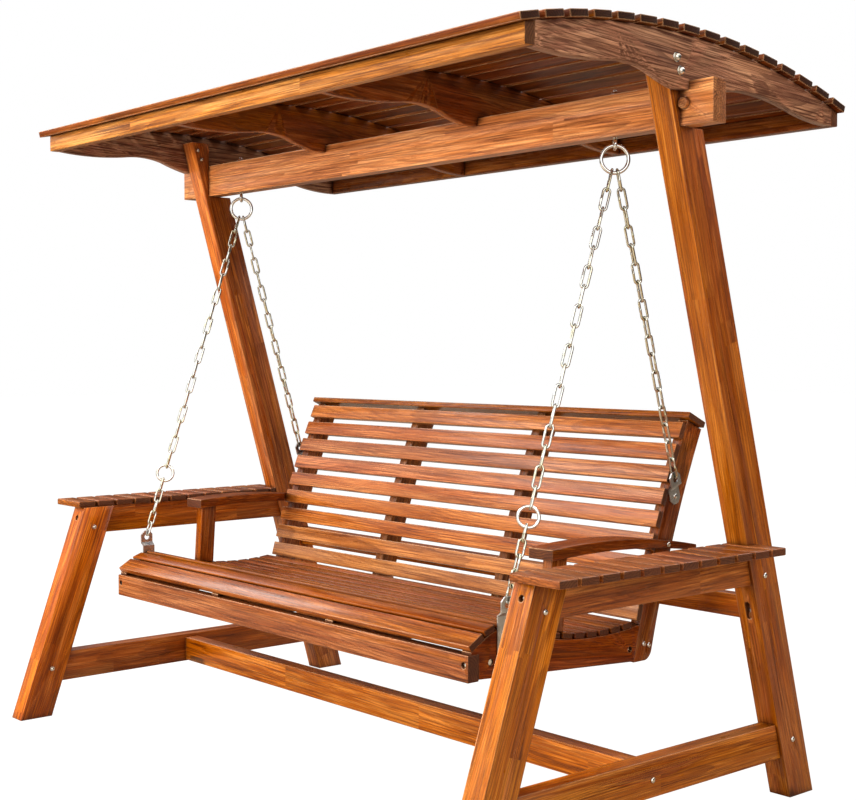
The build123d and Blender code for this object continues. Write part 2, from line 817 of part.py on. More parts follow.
mid_place = Plane(origin=mid_centre, x_dir=front_along, z_dir=mid_facing)
with BuildPart() as chain_mid_rings:
    mid_ring = ring_loop(mid_ring_r, mid_ring_wire_r).moved(mid_place.location)
    add(mid_ring)
    add(mid_ring.moved(to_left))
chain_mid_rings.part.label = "chain_mid_rings"

# the rear chain hangs from the same ring
rear_start = ring_grip(rear_eye)
rear_end = pin_grip(rear_eye, rear_start)
with BuildPart() as chain_rear_right:
    add(chain_leg(rear_start, rear_end, ring_facing, side_facing, ring_hook, pin_hook, link_pitch))
chain_rear_right.part.label = "chain_rear_right"

with BuildPart() as chain_rear_left:
    add(chain_rear_right.part.moved(to_left))
chain_rear_left.part.label = "chain_rear_left"

# ---------------------------------------------------------------- bench members
member_x = bench_half - bench_t
inner_x = bench_inner_x - bench_t / 2
nose_top_z = scoop_at(hump_y) - nose_top_drop
nose_tip_z = nose_top_z - nose_tip_drop
front_rail_top = nose_tip_z - front_rail_drop
front_rail_z = front_rail_top - front_rail_h
front_rail_rear = front_rail_y + front_rail_t
rail_bolt_z = front_rail_z + front_rail_h * rail_bolt_share
member_rear_z = front_rail_z - member_rise
upright_foot_z = member_rear_z - 1
lap_top_z = scoop_low_z + lap_over
rear_rail_z = member_rear_z + rear_rail_rise
joint_y = back_point(back_r, back_angle(back_r, member_rear_z))[0]
joint_top_z = scoop_at(seat_rear_y) + 5
back_rear_r = back_r - upright_w
hump_mid_y = (hump_y + nose_top_y) / 2 - 2
hump_mid_z = scoop_at(hump_y) + hump_rise
dowel_y = front_rail_rear + dowel_depth
lap_screws_at = []
for lap_run, lap_rise in zip(lap_screw_runs, lap_screw_rises):
    lap_screws_at.append((joint_y + lap_run, member_rear_z + lap_rise))
rear_rail_mid = (rear_rail_y + rear_rail_t / 2, rear_rail_z + rear_rail_h / 2)
small_hole_r = small_bolt_r + hole_gap
slat_lift = seat_gap + 0.2
arm_screw_z = arm_top_z - arm_screw_drop
arm_screw_at = (
    back_point(back_r - upright_w / 2, back_angle(back_r - upright_w / 2, arm_screw_z))[0],
    arm_screw_z,
)
arm_notch_y = back_point(back_r, back_angle(back_r, arm_top_z - arm_t))[0] - back_slat_t - 3
arm_taper_y = arm_notch_y - arm_taper_run


def fall(eye, lean, drop):
    """Point a distance down a bracket from its eye."""
    return (eye[0] - drop * sin(radians(lean)), eye[1] - drop * cos(radians(lean)))


front_bolts = [fall(front_eye, front_lean, drop) for drop in front_drops]
rear_bolts = [fall(rear_eye, rear_lean, drop) for drop in rear_drops]


def member_outline():
    """Seat member's side view: hollowed top, nose over the front rail, rear end run into the back."""
    with BuildSketch() as outline:
        with BuildLine():
            scoop_mid = (hump_y + seat_rear_y) / 2
            ThreePointArc(
                (seat_rear_y, scoop_at(seat_rear_y)),
                (scoop_mid, scoop_at(scoop_mid)),
                (hump_y, scoop_at(hump_y)),
            )
            ThreePointArc(
                (hump_y, scoop_at(hump_y)), (hump_mid_y, hump_mid_z), (nose_top_y, nose_top_z)
            )
            Polyline(
                (nose_top_y, nose_top_z),
                (nose_tip_y, nose_tip_z),
                (nose_tip_y, front_rail_top + seat_gap),
                (front_rail_rear + seat_gap, front_rail_top + seat_gap),
                (front_rail_rear + seat_gap, front_rail_z + 4),
                (joint_y + upright_w / 2, member_rear_z),
                (joint_y + upright_w / 2, joint_top_z),
                (seat_rear_y, scoop_at(seat_rear_y)),
            )
        make_face()
    return outline.sketch


def upright_outline():
    """Upright's side view: two arcs about one axis, square top, rounded rear heel."""
    front_deg = back_angle(back_r, upright_foot_z)
    rear_deg = back_angle(back_rear_r, upright_foot_z + heel_r)
    mid_deg = (front_deg + upright_top_deg) / 2
    heel = (back_point(back_rear_r, rear_deg)[0] - heel_r, upright_foot_z)
    with BuildSketch() as outline:
        with BuildLine():
            ThreePointArc(
                back_point(back_r, front_deg),
                back_point(back_r, mid_deg),
                back_point(back_r, upright_top_deg),
            )
            Line(back_point(back_r, upright_top_deg), back_point(back_rear_r, upright_top_deg))
            ThreePointArc(
                back_point(back_rear_r, upright_top_deg),
                back_point(back_rear_r, mid_deg),
                back_point(back_rear_r, rear_deg),
            )
            TangentArc(
                back_point(back_rear_r, rear_deg),
                heel,
                tangent=(-sin(radians(rear_deg)), -cos(radians(rear_deg))),
            )
            Line(heel, back_point(back_r, front_deg))
        make_face()
    return outline.sketch


def seat_member(x_low):
    """Seat member of the part being built, its inner half running on as a tongue beside the upright."""
    with BuildSketch(side_plane(x_low)) as blank:
        add(upright_outline())
        Rectangle(
            4 * bench_half,
            2 * (lap_top_z - seat_gap),
            mode=Mode.INTERSECT,
        )
        add(member_outline())
    extrude(blank.sketch, amount=bench_t)
    with BuildSketch(side_plane(x_low + bench_t / 2 - seat_gap)) as shoulder:
        with Locations((back_axis_y, back_axis_z)):
            Circle(back_r + seat_gap)
    extrude(shoulder.sketch, amount=bench_t, mode=Mode.SUBTRACT)
    with BuildSketch(side_plane(x_low - 1)) as above_lap:
        with Locations((back_axis_y, back_axis_z)):
            Circle(back_r + seat_gap)
        with Locations((joint_y, lap_top_z - seat_gap)):
            Rectangle(
                4 * upright_w,
                4 * upright_w,
                align=(Align.CENTER, Align.MIN),
                mode=Mode.INTERSECT,
            )
    extrude(above_lap.sketch, amount=bench_t + 2, mode=Mode.SUBTRACT)
    for y, z in lap_screws_at:
        drill((x_low - 1, y, z), (x_low + bench_t, y, z), small_hole_r)


def upright(x_low):
    """Upright of the part being built, its inner half cut away below the lap."""
    with BuildSketch(side_plane(x_low)) as blank:
        add(upright_outline())
    extrude(blank.sketch, amount=bench_t)
    board(
        x_low - 1,
        x_low + bench_t / 2,
        joint_y - upright_w,
        joint_y + 2 * upright_w,
        upright_foot_z - 1,
        lap_top_z,
        mode=Mode.SUBTRACT,
    )
    for y, z in lap_screws_at:
        drill((x_low, y, z), (x_low + bench_t + 1, y, z), small_hole_r)


with BuildPart() as seat_side_right:
    seat_member(member_x)
    for y, z in front_bolts:
        drill((bench_half - bracket_screw_len, y, z), (bench_half + 1, y, z), small_hole_r)
    drill((member_x - 1, *rear_rail_mid), (bench_half + 1, *rear_rail_mid), small_hole_r)
    # counterbore for the rear rail's screw
    drill(
        (bench_half - sink, *rear_rail_mid), (bench_half + 1, *rear_rail_mid), small_head_r + 1
    )
    drill(
        (lap_x, front_rail_rear, rail_bolt_z),
        (lap_x, dowel_y + cross_dowel_r + 1, rail_bolt_z),
        small_hole_r,
    )
    # bore for the corner bolt's barrel nut, open on the outer face
    drill(
        (lap_x - cross_dowel_half, dowel_y, rail_bolt_z),
        (bench_half + 1, dowel_y, rail_bolt_z),
        cross_dowel_r + hole_gap,
        head_sides,
    )
seat_side_right.part.label = "seat_side_right"

with BuildPart() as seat_side_left:
    add(seat_side_right.part.mirror(Plane.YZ))
seat_side_left.part.label = "seat_side_left"

# inner members cross the rear rail in a halved joint
half_lap_z = rear_rail_z + rear_rail_h / 2
with BuildPart() as seat_bearers_inner:
    seat_member(inner_x)
    board(
        inner_x - 1,
        inner_x + bench_t + 1,
        rear_rail_y - seat_gap,
        rear_rail_y + rear_rail_t + seat_gap,
        rear_rail_z - 10,
        half_lap_z + seat_gap / 2,
        mode=Mode.SUBTRACT,
    )
    mirror(about=Plane.YZ)
seat_bearers_inner.part.label = "seat_bearers_inner"

with BuildPart() as front_seat_rail:
    board(-bench_half, bench_half, front_rail_y, front_rail_rear, front_rail_z, front_rail_top)
    for x in (-lap_x, lap_x):
        drill(
            (x, front_rail_y - 1, rail_bolt_z), (x, front_rail_rear + 1, rail_bolt_z), small_hole_r
        )
        # counterbore that hides the bolt head
        drill(
            (x, front_rail_y - 1, rail_bolt_z),
            (x, front_rail_y + sink, rail_bolt_z),
            small_head_r + 1,
        )
front_seat_rail.part.label = "front_seat_rail"

rear_rail_end = member_x - seat_gap
with BuildPart() as rear_seat_rail:
    board(
        -rear_rail_end,
        rear_rail_end,
        rear_rail_y,
        rear_rail_y + rear_rail_t,
        rear_rail_z,
        rear_rail_z + rear_rail_h,
    )
    for side in (-1, 1):
        board(
            side * bench_inner_x - bench_t / 2 - seat_gap,
            side * bench_inner_x + bench_t / 2 + seat_gap,
            rear_rail_y - 1,
            rear_rail_y + rear_rail_t + 1,
            half_lap_z - seat_gap / 2,
            rear_rail_z + rear_rail_h + 1,
            mode=Mode.SUBTRACT,
        )
        drill(
            (side * (rear_rail_end + 1), *rear_rail_mid),
            (side * (rear_rail_end - rail_screw_len), *rear_rail_mid),
            small_hole_r,
        )
rear_seat_rail.part.label = "rear_seat_rail"

# ---------------------------------------------------------------- seat slats
with BuildLine() as seat_curve:
    scoop_mid_y = (hump_y + seat_rear_y) / 2
    ThreePointArc((nose_top_y, nose_top_z), (hump_mid_y, hump_mid_z), (hump_y, scoop_at(hump_y)))
    ThreePointArc(
        (hump_y, scoop_at(hump_y)),
        (scoop_mid_y, scoop_at(scoop_mid_y)),
        (seat_rear_y, scoop_at(seat_rear_y)),
    )

seat_run = seat_curve.wire()
slat_inset = (seat_slat_w / 2 + 1) / seat_run.length
with BuildPart() as seat_slats:
    for i in range(seat_slat_n):
        at = slat_inset + (1 - 2 * slat_inset) * i / (seat_slat_n - 1)
        spot = seat_run.position_at(at)
        heading = seat_run.tangent_at(at)
        up = Vector(0, -heading.Y, heading.X)
        base = Vector(0, spot.X, spot.Y) + up * slat_lift
        with Locations(Plane(origin=base, x_dir=(1, 0, 0), z_dir=up)):
            Box(
                2 * bench_half,
                seat_slat_w,
                seat_slat_t,
                align=(Align.CENTER, Align.CENTER, Align.MIN),
            )
seat_slats.part.label = "seat_slats"

nose_run = hypot(nose_top_y - nose_tip_y, nose_top_z - nose_tip_z)
nose_up = Vector(0, -(nose_top_z - nose_tip_z) / nose_run, (nose_top_y - nose_tip_y) / nose_run)
nose_mid = Vector(0, (nose_top_y + nose_tip_y) / 2 - 1, (nose_top_z + nose_tip_z) / 2)
with BuildPart() as seat_nose_slat:
    with Locations(Plane(origin=nose_mid + nose_up * seat_gap, x_dir=(1, 0, 0), z_dir=nose_up)):
        Box(2 * bench_half, nose_slat_w, seat_slat_t, align=(Align.CENTER, Align.CENTER, Align.MIN))
seat_nose_slat.part.label = "seat_nose_slat"

# ---------------------------------------------------------------- bench back
with BuildPart() as back_upright_right:
    upright(member_x)
    for y, z in rear_bolts + [arm_screw_at]:
        drill((bench_half - bracket_screw_len, y, z), (bench_half + 1, y, z), small_hole_r)
back_upright_right.part.label = "back_upright_right"

with BuildPart() as back_upright_left:
    add(back_upright_right.part.mirror(Plane.YZ))
back_upright_left.part.label = "back_upright_left"

with BuildPart() as back_uprights_inner:
    upright(inner_x)
    mirror(about=Plane.YZ)
back_uprights_inner.part.label = "back_uprights_inner"

with BuildPart() as back_slats:
    for i in range(back_slat_n):
        lean = back_slat_top_deg - i * back_slat_pitch
        spot = back_point(back_r + seat_gap, lean)
        facing = (0, -cos(radians(lean)), sin(radians(lean)))
        with Locations(Plane(origin=(0, *spot), x_dir=(1, 0, 0), z_dir=facing)):
            Box(
                2 * bench_half,
                back_slat_w,
                back_slat_t,
                align=(Align.CENTER, Align.CENTER, Align.MIN),
            )
back_slats.part.label = "back_slats"

cap_mid = back_point(back_r + back_slat_t + 2 - cap_w / 2, upright_top_deg)
cap_up = Vector(0, sin(radians(upright_top_deg)), cos(radians(upright_top_deg)))
with BuildPart() as back_cap:
    with Locations(Plane(origin=Vector(0, *cap_mid) + cap_up * seat_gap, x_dir=(1, 0, 0), z_dir=cap_up)):
        Box(
            2 * (bench_half + cap_over),
            cap_w,
            cap_t,
            align=(Align.CENTER, Align.CENTER, Align.MIN),
        )
back_cap.part.label = "back_cap"

# ---------------------------------------------------------------- armrests


def arm_outline():
    """Armrest's side view: level-topped board with a slight arch, thinner at the rear."""
    mid_y = arm_front_y + (arm_rear_y - arm_front_y) * 0.4
    mid_z = arm_top_z + arm_rise
    rear_z = arm_top_z - arm_drop
    with BuildSketch() as outline:
        with BuildLine():
            ThreePointArc((arm_front_y, arm_top_z), (mid_y, mid_z), (arm_rear_y, rear_z))
            Line((arm_rear_y, rear_z), (arm_rear_y, rear_z - arm_rear_t))
            ThreePointArc(
                (arm_rear_y, rear_z - arm_rear_t),
                (mid_y, mid_z - arm_t),
                (arm_front_y, arm_top_z - arm_t),
            )
            Line((arm_front_y, arm_top_z - arm_t), (arm_front_y, arm_top_z))
        make_face()
    return outline.sketch


with BuildPart() as armrest_right:
    with BuildSketch(side_plane(arm_in_x)):
        add(arm_outline())
    extrude(amount=arm_out_x - arm_in_x)
    # the inner edge runs in ahead of the back slats, and a narrow strip passes outside the upright
    with BuildSketch(Plane.XY.offset(arm_top_z - 2 * arm_drop)):
        Polygon(
            (arm_in_x - 1, arm_taper_y),
            (bench_half + seat_gap, arm_notch_y),
            (bench_half + seat_gap, arm_rear_y + 1),
            (arm_in_x - 1, arm_rear_y + 1),
            align=None,
        )
    extrude(amount=3 * arm_drop, mode=Mode.SUBTRACT)
    drill((bench_half, *arm_screw_at), (arm_out_x + 1, *arm_screw_at), small_hole_r)
armrest_right.part.label = "armrest_right"

with BuildPart() as armrest_left:
    add(armrest_right.part.mirror(Plane.YZ))
armrest_left.part.label = "armrest_left"

# the post's foot is cut to the hollow of the seat, its head to the arm's underside
arm_post_foot_z = scoop_at(arm_post_foot_y) - arm_post_depth
with BuildPart() as arm_post_right:
    with BuildSketch(side_plane(arm_post_x - arm_post_t / 2)):
        Polygon(
            (arm_post_foot_y, arm_post_foot_z),
            (arm_post_foot_y + arm_post_w, arm_post_foot_z),
            (arm_post_top_y + arm_post_w, arm_top_z - arm_t / 2),
            (arm_post_top_y, arm_top_z - arm_t / 2),
            align=None,
        )
        with Locations((scoop_y, scoop_low_z + scoop_r)):
            Circle(scoop_r - slat_lift - seat_slat_t - seat_gap, mode=Mode.INTERSECT)
        offset(arm_outline(), amount=seat_gap, kind=Kind.INTERSECTION, mode=Mode.SUBTRACT)
    extrude(amount=arm_post_t)
arm_post_right.part.label = "arm_post_right"

with BuildPart() as arm_post_left:
    add(arm_post_right.part.mirror(Plane.YZ))
arm_post_left.part.label = "arm_post_left"

# ---------------------------------------------------------------- chain brackets
plate_x = bench_half + seat_gap


def bracket(eye, lean, length):
    """Cranked flat bar of the part being built, flat on the bench, its eye out in the chain's plane."""
    down = (-sin(radians(lean)), -cos(radians(lean)))
    edge = Plane(origin=(0, *eye), x_dir=(1, 0, 0), z_dir=(0, down[1], -down[0]))
    top = bracket_w
    knee = -0.4 * bracket_w
    foot = knee - bracket_crank
    with BuildSketch(edge) as profile:
        Polygon(
            (hang_x - bracket_t / 2, top),
            (hang_x + bracket_t / 2, top),
            (hang_x + bracket_t / 2, knee - bracket_t / 3),
            (plate_x + bracket_t, foot - bracket_t / 3),
            (plate_x + bracket_t, -length - top),
            (plate_x, -length - top),
            (plate_x, foot),
            (hang_x - bracket_t / 2, knee),
            align=None,
        )
    extrude(profile.sketch, amount=bracket_w, both=True)
    with BuildSketch(side_plane(bench_half)) as plate:
        with Locations(eye, fall(eye, lean, length)):
            RegularPolygon(bracket_w / 2, head_sides, major_radius=False, rotation=22.5 - lean)
        make_hull()
    extrude(plate.sketch, amount=hang_x - bench_half + bracket_t, mode=Mode.INTERSECT)
    drill((bench_half, *eye), (hang_x + bracket_t, *eye), bracket_hole_r, head_sides)


with BuildPart() as front_brackets:
    bracket(front_eye, front_lean, front_drops[-1])
    for y, z in front_bolts:
        drill((bench_half, y, z), (plate_x + 2 * bracket_t, y, z), small_hole_r)
    mirror(about=Plane.YZ)
front_brackets.part.label = "front_brackets"

with BuildPart() as rear_brackets:
    bracket(rear_eye, rear_lean, rear_drops[-1])
    for y, z in rear_bolts:
        drill((bench_half, y, z), (plate_x + 2 * bracket_t, y, z), small_hole_r)
    mirror(about=Plane.YZ)
rear_brackets.part.label = "rear_brackets"

# ---------------------------------------------------------------- fasteners
head_x = frame_half + seat_gap
nut_x = frame_in - seat_gap
rafter_head_x = rafter_out_x + 2 * seat_gap + wood_washer_t
stretcher_head_x = rail_in + rail_t + seat_gap
stretcher_at = (stretcher_y, stretcher_mid_z)
bolt_tail = nut_h + 4

with BuildPart() as frame_bolts:
    for y, z in leg_pins + post_pins:
        screw(
            (head_x, y, z), (-1, 0, 0), head_x - nut_x + bolt_tail, bolt_r, bolt_head_r, bolt_head_h
        )
    screw(
        (rail_mid, leg_bolt_y - seat_gap, leg_bolt_z),
        (0, 1, 0),
        leg_bolt_len,
        bolt_r,
        bolt_head_r,
        bolt_head_h,
    )
    screw(
        (rail_mid, pocket_y - seat_gap, pocket_z),
        (0, 1, 0),
        pocket_screw_len,
        small_bolt_r,
        small_head_r,
        small_head_h,
    )
    mirror(about=Plane.YZ)
frame_bolts.part.label = "frame_bolts"

with BuildPart() as rafter_bolts:
    for y, z in rafter_bolts_at:
        screw(
            (rafter_head_x, y, z),
            (-1, 0, 0),
            rafter_head_x - nut_x + bolt_tail,
            bolt_r,
            rafter_head_r,
            rafter_head_h,
        )
    mirror(about=Plane.YZ)
rafter_bolts.part.label = "rafter_bolts"

with BuildPart() as stretcher_bolts:
    screw(
        (stretcher_head_x, *stretcher_at),
        (-1, 0, 0),
        rail_t + stretcher_bolt_len,
        bolt_r,
        bolt_head_r,
        bolt_head_h,
    )
    mirror(about=Plane.YZ)
stretcher_bolts.part.label = "stretcher_bolts"

with BuildPart() as frame_washers:
    for y, z in rafter_bolts_at:
        washer((rafter_out_x + seat_gap, y, z), (1, 0, 0))
    mirror(about=Plane.YZ)
frame_washers.part.label = "frame_washers"

with BuildPart() as frame_nuts:
    for y, z in [*leg_pins, *post_pins, *rafter_bolts_at]:
        nut((nut_x, y, z), (-1, 0, 0), nut_r, bolt_r + hole_gap, nut_h)
    mirror(about=Plane.YZ)
frame_nuts.part.label = "frame_nuts"

with BuildPart() as stretcher_nuts:
    rod(
        (stretcher_nut_x, stretcher_y, stretcher_mid_z - cross_dowel_half),
        (stretcher_nut_x, stretcher_y, stretcher_mid_z + cross_dowel_half),
        cross_dowel_r,
    )
    drill(
        (stretcher_nut_x - 2 * cross_dowel_r, *stretcher_at),
        (stretcher_nut_x + 2 * cross_dowel_r, *stretcher_at),
        bolt_r + hole_gap,
    )
    mirror(about=Plane.YZ)
stretcher_nuts.part.label = "stretcher_nuts"

bracket_head_x = plate_x + bracket_t + seat_gap
with BuildPart() as bracket_screws:
    for y, z in front_bolts + rear_bolts:
        screw(
            (bracket_head_x, y, z),
            (-1, 0, 0),
            bracket_screw_len,
            small_bolt_r,
            small_head_r,
            small_head_h,
        )
    mirror(about=Plane.YZ)
bracket_screws.part.label = "bracket_screws"

with BuildPart() as bench_screws:
    for x in (bench_half, inner_x + bench_t):
        for y, z in lap_screws_at:
            screw(
                (x + seat_gap, y, z),
                (-1, 0, 0),
                bench_t - 2,
                small_bolt_r,
                small_head_r,
                small_head_h,
            )
    screw(
        (bench_half - sink + seat_gap, *rear_rail_mid),
        (-1, 0, 0),
        bench_t - sink + rail_screw_len - 2,
        small_bolt_r,
        small_head_r,
        small_head_h,
    )
    screw(
        (arm_out_x + seat_gap, *arm_screw_at),
        (-1, 0, 0),
        bench_t + 6,
        small_bolt_r,
        small_head_r,
        small_head_h,
    )
    screw(
        (lap_x, front_rail_y + sink - seat_gap, rail_bolt_z),
        (0, 1, 0),
        dowel_y + cross_dowel_r - front_rail_y - sink,
        small_bolt_r,
        small_head_r,
        small_head_h,
    )
    mirror(about=Plane.YZ)
bench_screws.part.label = "bench_screws"

with BuildPart() as bench_barrel_nuts:
    rod(
        (lap_x - cross_dowel_half + hole_gap, dowel_y, rail_bolt_z),
        (lap_x + cross_dowel_half, dowel_y, rail_bolt_z),
        cross_dowel_r,
        head_sides,
    )
    drill(
        (lap_x, dowel_y - 2 * cross_dowel_r, rail_bolt_z),
        (lap_x, dowel_y + 2 * cross_dowel_r, rail_bolt_z),
        small_hole_r,
    )
    mirror(about=Plane.YZ)
bench_barrel_nuts.part.label = "bench_barrel_nuts"

# ---------------------------------------------------------------- files
export_step(front_leg_right.part, "parts/front_leg_right.step")
export_step(front_leg_left.part, "parts/front_leg_left.step")
export_step(rear_post_right.part, "parts/rear_post_right.step")
export_step(rear_post_left.part, "parts/rear_post_left.step")
export_step(tray_rail_right.part, "parts/tray_rail_right.step")
export_step(tray_rail_left.part, "parts/tray_rail_left.step")
export_step(foot_rail_right.part, "parts/foot_rail_right.step")
export_step(foot_rail_left.part, "parts/foot_rail_left.step")
export_step(centre_stretcher.part, "parts/centre_stretcher.step")
export_step(rear_cross_rail.part, "parts/rear_cross_rail.step")
export_step(top_beam.part, "parts/top_beam.step")
export_step(beam_pegs.part, "parts/beam_pegs.step")
export_step(roof_rafter_end_right.part, "parts/roof_rafter_end_right.step")
export_step(roof_rafter_end_left.part, "parts/roof_rafter_end_left.step")
export_step(roof_rafter_inner_right.part, "parts/roof_rafter_inner_right.step")
export_step(roof_rafter_inner_left.part, "parts/roof_rafter_inner_left.step")
export_step(front_fascia.part, "parts/front_fascia.step")
export_step(rear_fascia.part, "parts/rear_fascia.step")
export_step(roof_slats.part, "parts/roof_slats.step")
export_step(tray_slats_right.part, "parts/tray_slats_right.step")
export_step(tray_slats_left.part, "parts/tray_slats_left.step")
export_step(hanger_eye_bolts.part, "parts/hanger_eye_bolts.step")
export_step(hanger_washers.part, "parts/hanger_washers.step")
export_step(hanger_nuts.part, "parts/hanger_nuts.step")
export_step(hanger_rings.part, "parts/hanger_rings.step")
export_step(chain_front_right.part, "parts/chain_front_right.step")
export_step(chain_front_left.part, "parts/chain_front_left.step")
export_step(chain_mid_rings.part, "parts/chain_mid_rings.step")
export_step(chain_rear_right.part, "parts/chain_rear_right.step")
export_step(chain_rear_left.part, "parts/chain_rear_left.step")
export_step(seat_side_right.part, "parts/seat_side_right.step")
export_step(seat_side_left.part, "parts/seat_side_left.step")
export_step(seat_bearers_inner.part, "parts/seat_bearers_inner.step")
export_step(front_seat_rail.part, "parts/front_seat_rail.step")
export_step(rear_seat_rail.part, "parts/rear_seat_rail.step")
export_step(seat_slats.part, "parts/seat_slats.step")
export_step(seat_nose_slat.part, "parts/seat_nose_slat.step")
export_step(back_upright_right.part, "parts/back_upright_right.step")
export_step(back_upright_left.part, "parts/back_upright_left.step")
export_step(back_uprights_inner.part, "parts/back_uprights_inner.step")
export_step(back_slats.part, "parts/back_slats.step")
export_step(back_cap.part, "parts/back_cap.step")
export_step(armrest_right.part, "parts/armrest_right.step")
export_step(armrest_left.part, "parts/armrest_left.step")
export_step(arm_post_right.part, "parts/arm_post_right.step")
export_step(arm_post_left.part, "parts/arm_post_left.step")
export_step(front_brackets.part, "parts/front_brackets.step")
export_step(rear_brackets.part, "parts/rear_brackets.step")
export_step(frame_bolts.part, "parts/frame_bolts.step")
export_step(rafter_bolts.part, "parts/rafter_bolts.step")
export_step(stretcher_bolts.part, "parts/stretcher_bolts.step")
export_step(frame_washers.part, "parts/frame_washers.step")
export_step(frame_nuts.part, "parts/frame_nuts.step")
export_step(stretcher_nuts.part, "parts/stretcher_nuts.step")
export_step(bracket_screws.part, "parts/bracket_screws.step")
export_step(bench_screws.part, "parts/bench_screws.step")
export_step(bench_barrel_nuts.part, "parts/bench_barrel_nuts.step")
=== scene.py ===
"""Wooden garden swing: finish, small metalwork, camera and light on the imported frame. Metres."""
import json
from math import cos, pi, radians, sin

import bmesh
import bpy
import numpy as np
from mathutils import Matrix, Vector

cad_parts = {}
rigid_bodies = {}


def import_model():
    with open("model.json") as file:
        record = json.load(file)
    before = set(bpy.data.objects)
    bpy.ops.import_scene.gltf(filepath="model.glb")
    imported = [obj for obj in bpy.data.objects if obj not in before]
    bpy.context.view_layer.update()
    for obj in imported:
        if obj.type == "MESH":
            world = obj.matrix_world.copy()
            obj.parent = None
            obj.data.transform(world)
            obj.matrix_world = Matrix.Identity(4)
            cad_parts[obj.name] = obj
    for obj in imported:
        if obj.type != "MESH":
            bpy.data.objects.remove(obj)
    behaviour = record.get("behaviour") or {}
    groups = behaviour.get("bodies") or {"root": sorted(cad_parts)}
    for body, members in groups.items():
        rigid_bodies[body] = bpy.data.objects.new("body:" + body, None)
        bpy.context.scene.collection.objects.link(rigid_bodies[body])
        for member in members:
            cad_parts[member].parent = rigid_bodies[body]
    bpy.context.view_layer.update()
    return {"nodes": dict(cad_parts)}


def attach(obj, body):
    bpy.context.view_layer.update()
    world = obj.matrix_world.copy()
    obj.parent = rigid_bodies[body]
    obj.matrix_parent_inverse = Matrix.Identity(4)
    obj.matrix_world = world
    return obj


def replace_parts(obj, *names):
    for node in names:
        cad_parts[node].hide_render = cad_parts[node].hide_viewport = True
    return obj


bpy.ops.object.select_all(action="SELECT")
bpy.ops.object.delete()

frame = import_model()
nodes = frame["nodes"]
scene = bpy.context.scene
rng = np.random.default_rng(7)

MM = 0.001

# ------------------------------------------------------------------ sizes
LINK_WIRE = 3.0 * MM
LINK_HALF_WIDTH = 8.0 * MM        # centre of one side to the middle
LINK_BEND_STEPS = 9
LINK_WELD = ((2.2, 1.0), (1.1, 1.13), (0.0, 1.17), (-1.1, 1.13), (-2.2, 1.0))  # mm along, swell
RING_WIRE = 4.5 * MM
MID_RING_WIRE = 4.0 * MM
EYE_WIRE = 4.0 * MM
EYE_SHANK = 5.0 * MM
RING_SIDES = 12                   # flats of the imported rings
WOOD_BEVEL = 2.2 * MM
SLAT_BEVEL = 1.5 * MM
ROUNDED_SLAT_BEVEL = 2.8 * MM
PLATE_BEVEL = 0.8 * MM
SHANK_CHAMFER = 1.2 * MM
HEAD_RIM = 0.28                   # upright share of a round head's height
HEAD_STEPS = 6
FRAME_WASHER_HOLE = 4.3 * MM      # radii
HANGER_WASHER_HOLE = 5.3 * MM
SAME_PLACE = 0.02 * MM            # corners nearer than this are one
SHARP = radians(28)               # edges sharper than this are rounded
FLAT = radians(0.6)               # faces that turn less than this are one
ON_AXIS = 1e-9                    # radii below this are a point
AT_TAIL = 1e-5                    # points this near a screw's far end belong to it
HEAD_SHARE = 0.85                 # points beyond this share of a screw's radius are its head
FLOOR_HALF = 30.0

# wood grain: features for each metre across a board, and how little they change along it
FINE = (380.0, 0.016)
BAND = (85.0, 0.045)
BROAD = (20.0, 0.13)
THREAD = (300.0, 0.010)
HEART = (46.0, 0.06)
PORES = (1300.0, 0.028)
RINGS_PER_METRE = 170.0
KNOT_CELLS = 6.0
KNOT_RARE = 0.84                  # share of the cells that hold no knot
STAVE = 60 * MM                   # width of one stave of a laminated timber
STAVE_DEPTH = 0.6                 # share of that width
TIMBER_BLOCK = 600 * MM
BEAM_BLOCK = 800 * MM
EDGE_ROUND = 4 * MM                   # width of the rounded shading and of the painted highlight on an edge
GAP_REACH = 28 * MM               # gaps narrower than this get painted shade
METAL_GAP_REACH = 9 * MM
# painted highlight: edges that face this way, up and to the front towards the lamps, get the most
HIGHLIGHT_SIDE = (-0.25, -0.50, 0.83)
EDGE_HIGHLIGHT_COLOUR = (0.95, 0.60, 0.34)
RECESS_SHADE_COLOUR = (0.03, 0.026, 0.022, 1.0)

# ------------------------------------------------------------------ solids of a CAD node


def solids_of(node):
    """Vertex index arrays, one for each solid of a node, and the node's vertex positions."""
    mesh = node.data
    co = np.array([v.co for v in mesh.vertices])
    keys = {}
    same = np.empty(len(co), int)
    for i, key in enumerate(map(tuple, np.round(co / SAME_PLACE).astype(int))):
        same[i] = keys.setdefault(key, len(keys))
    parent = list(range(len(keys)))

    def root(a):
        while parent[a] != a:
            parent[a] = parent[parent[a]]
            a = parent[a]
        return a

    for poly in mesh.polygons:
        first = root(same[poly.vertices[0]])
        for v in poly.vertices[1:]:
            parent[root(same[v])] = first
    groups = {}
    for i in range(len(co)):
        groups.setdefault(root(same[i]), []).append(i)
    return [np.array(g) for g in groups.values()], co


def axes_of(node, index, co):
    """Centre and principal axes, longest first, of one solid, weighted by its surface."""
    inside = set(index.tolist())
    points, weights = [], []
    for poly in node.data.polygons:
        if poly.vertices[0] in inside:
            points.append(np.array(poly.center))
            weights.append(poly.area)
    points, weights = np.array(points), np.array(weights)
    middle = (points * weights[:, None]).sum(0) / weights.sum()
    spread = points - middle
    _, vectors = np.linalg.eigh((spread * weights[:, None]).T @ spread)
    return middle, vectors[:, 2], vectors[:, 1], vectors[:, 0]


# ------------------------------------------------------------------ shader helpers


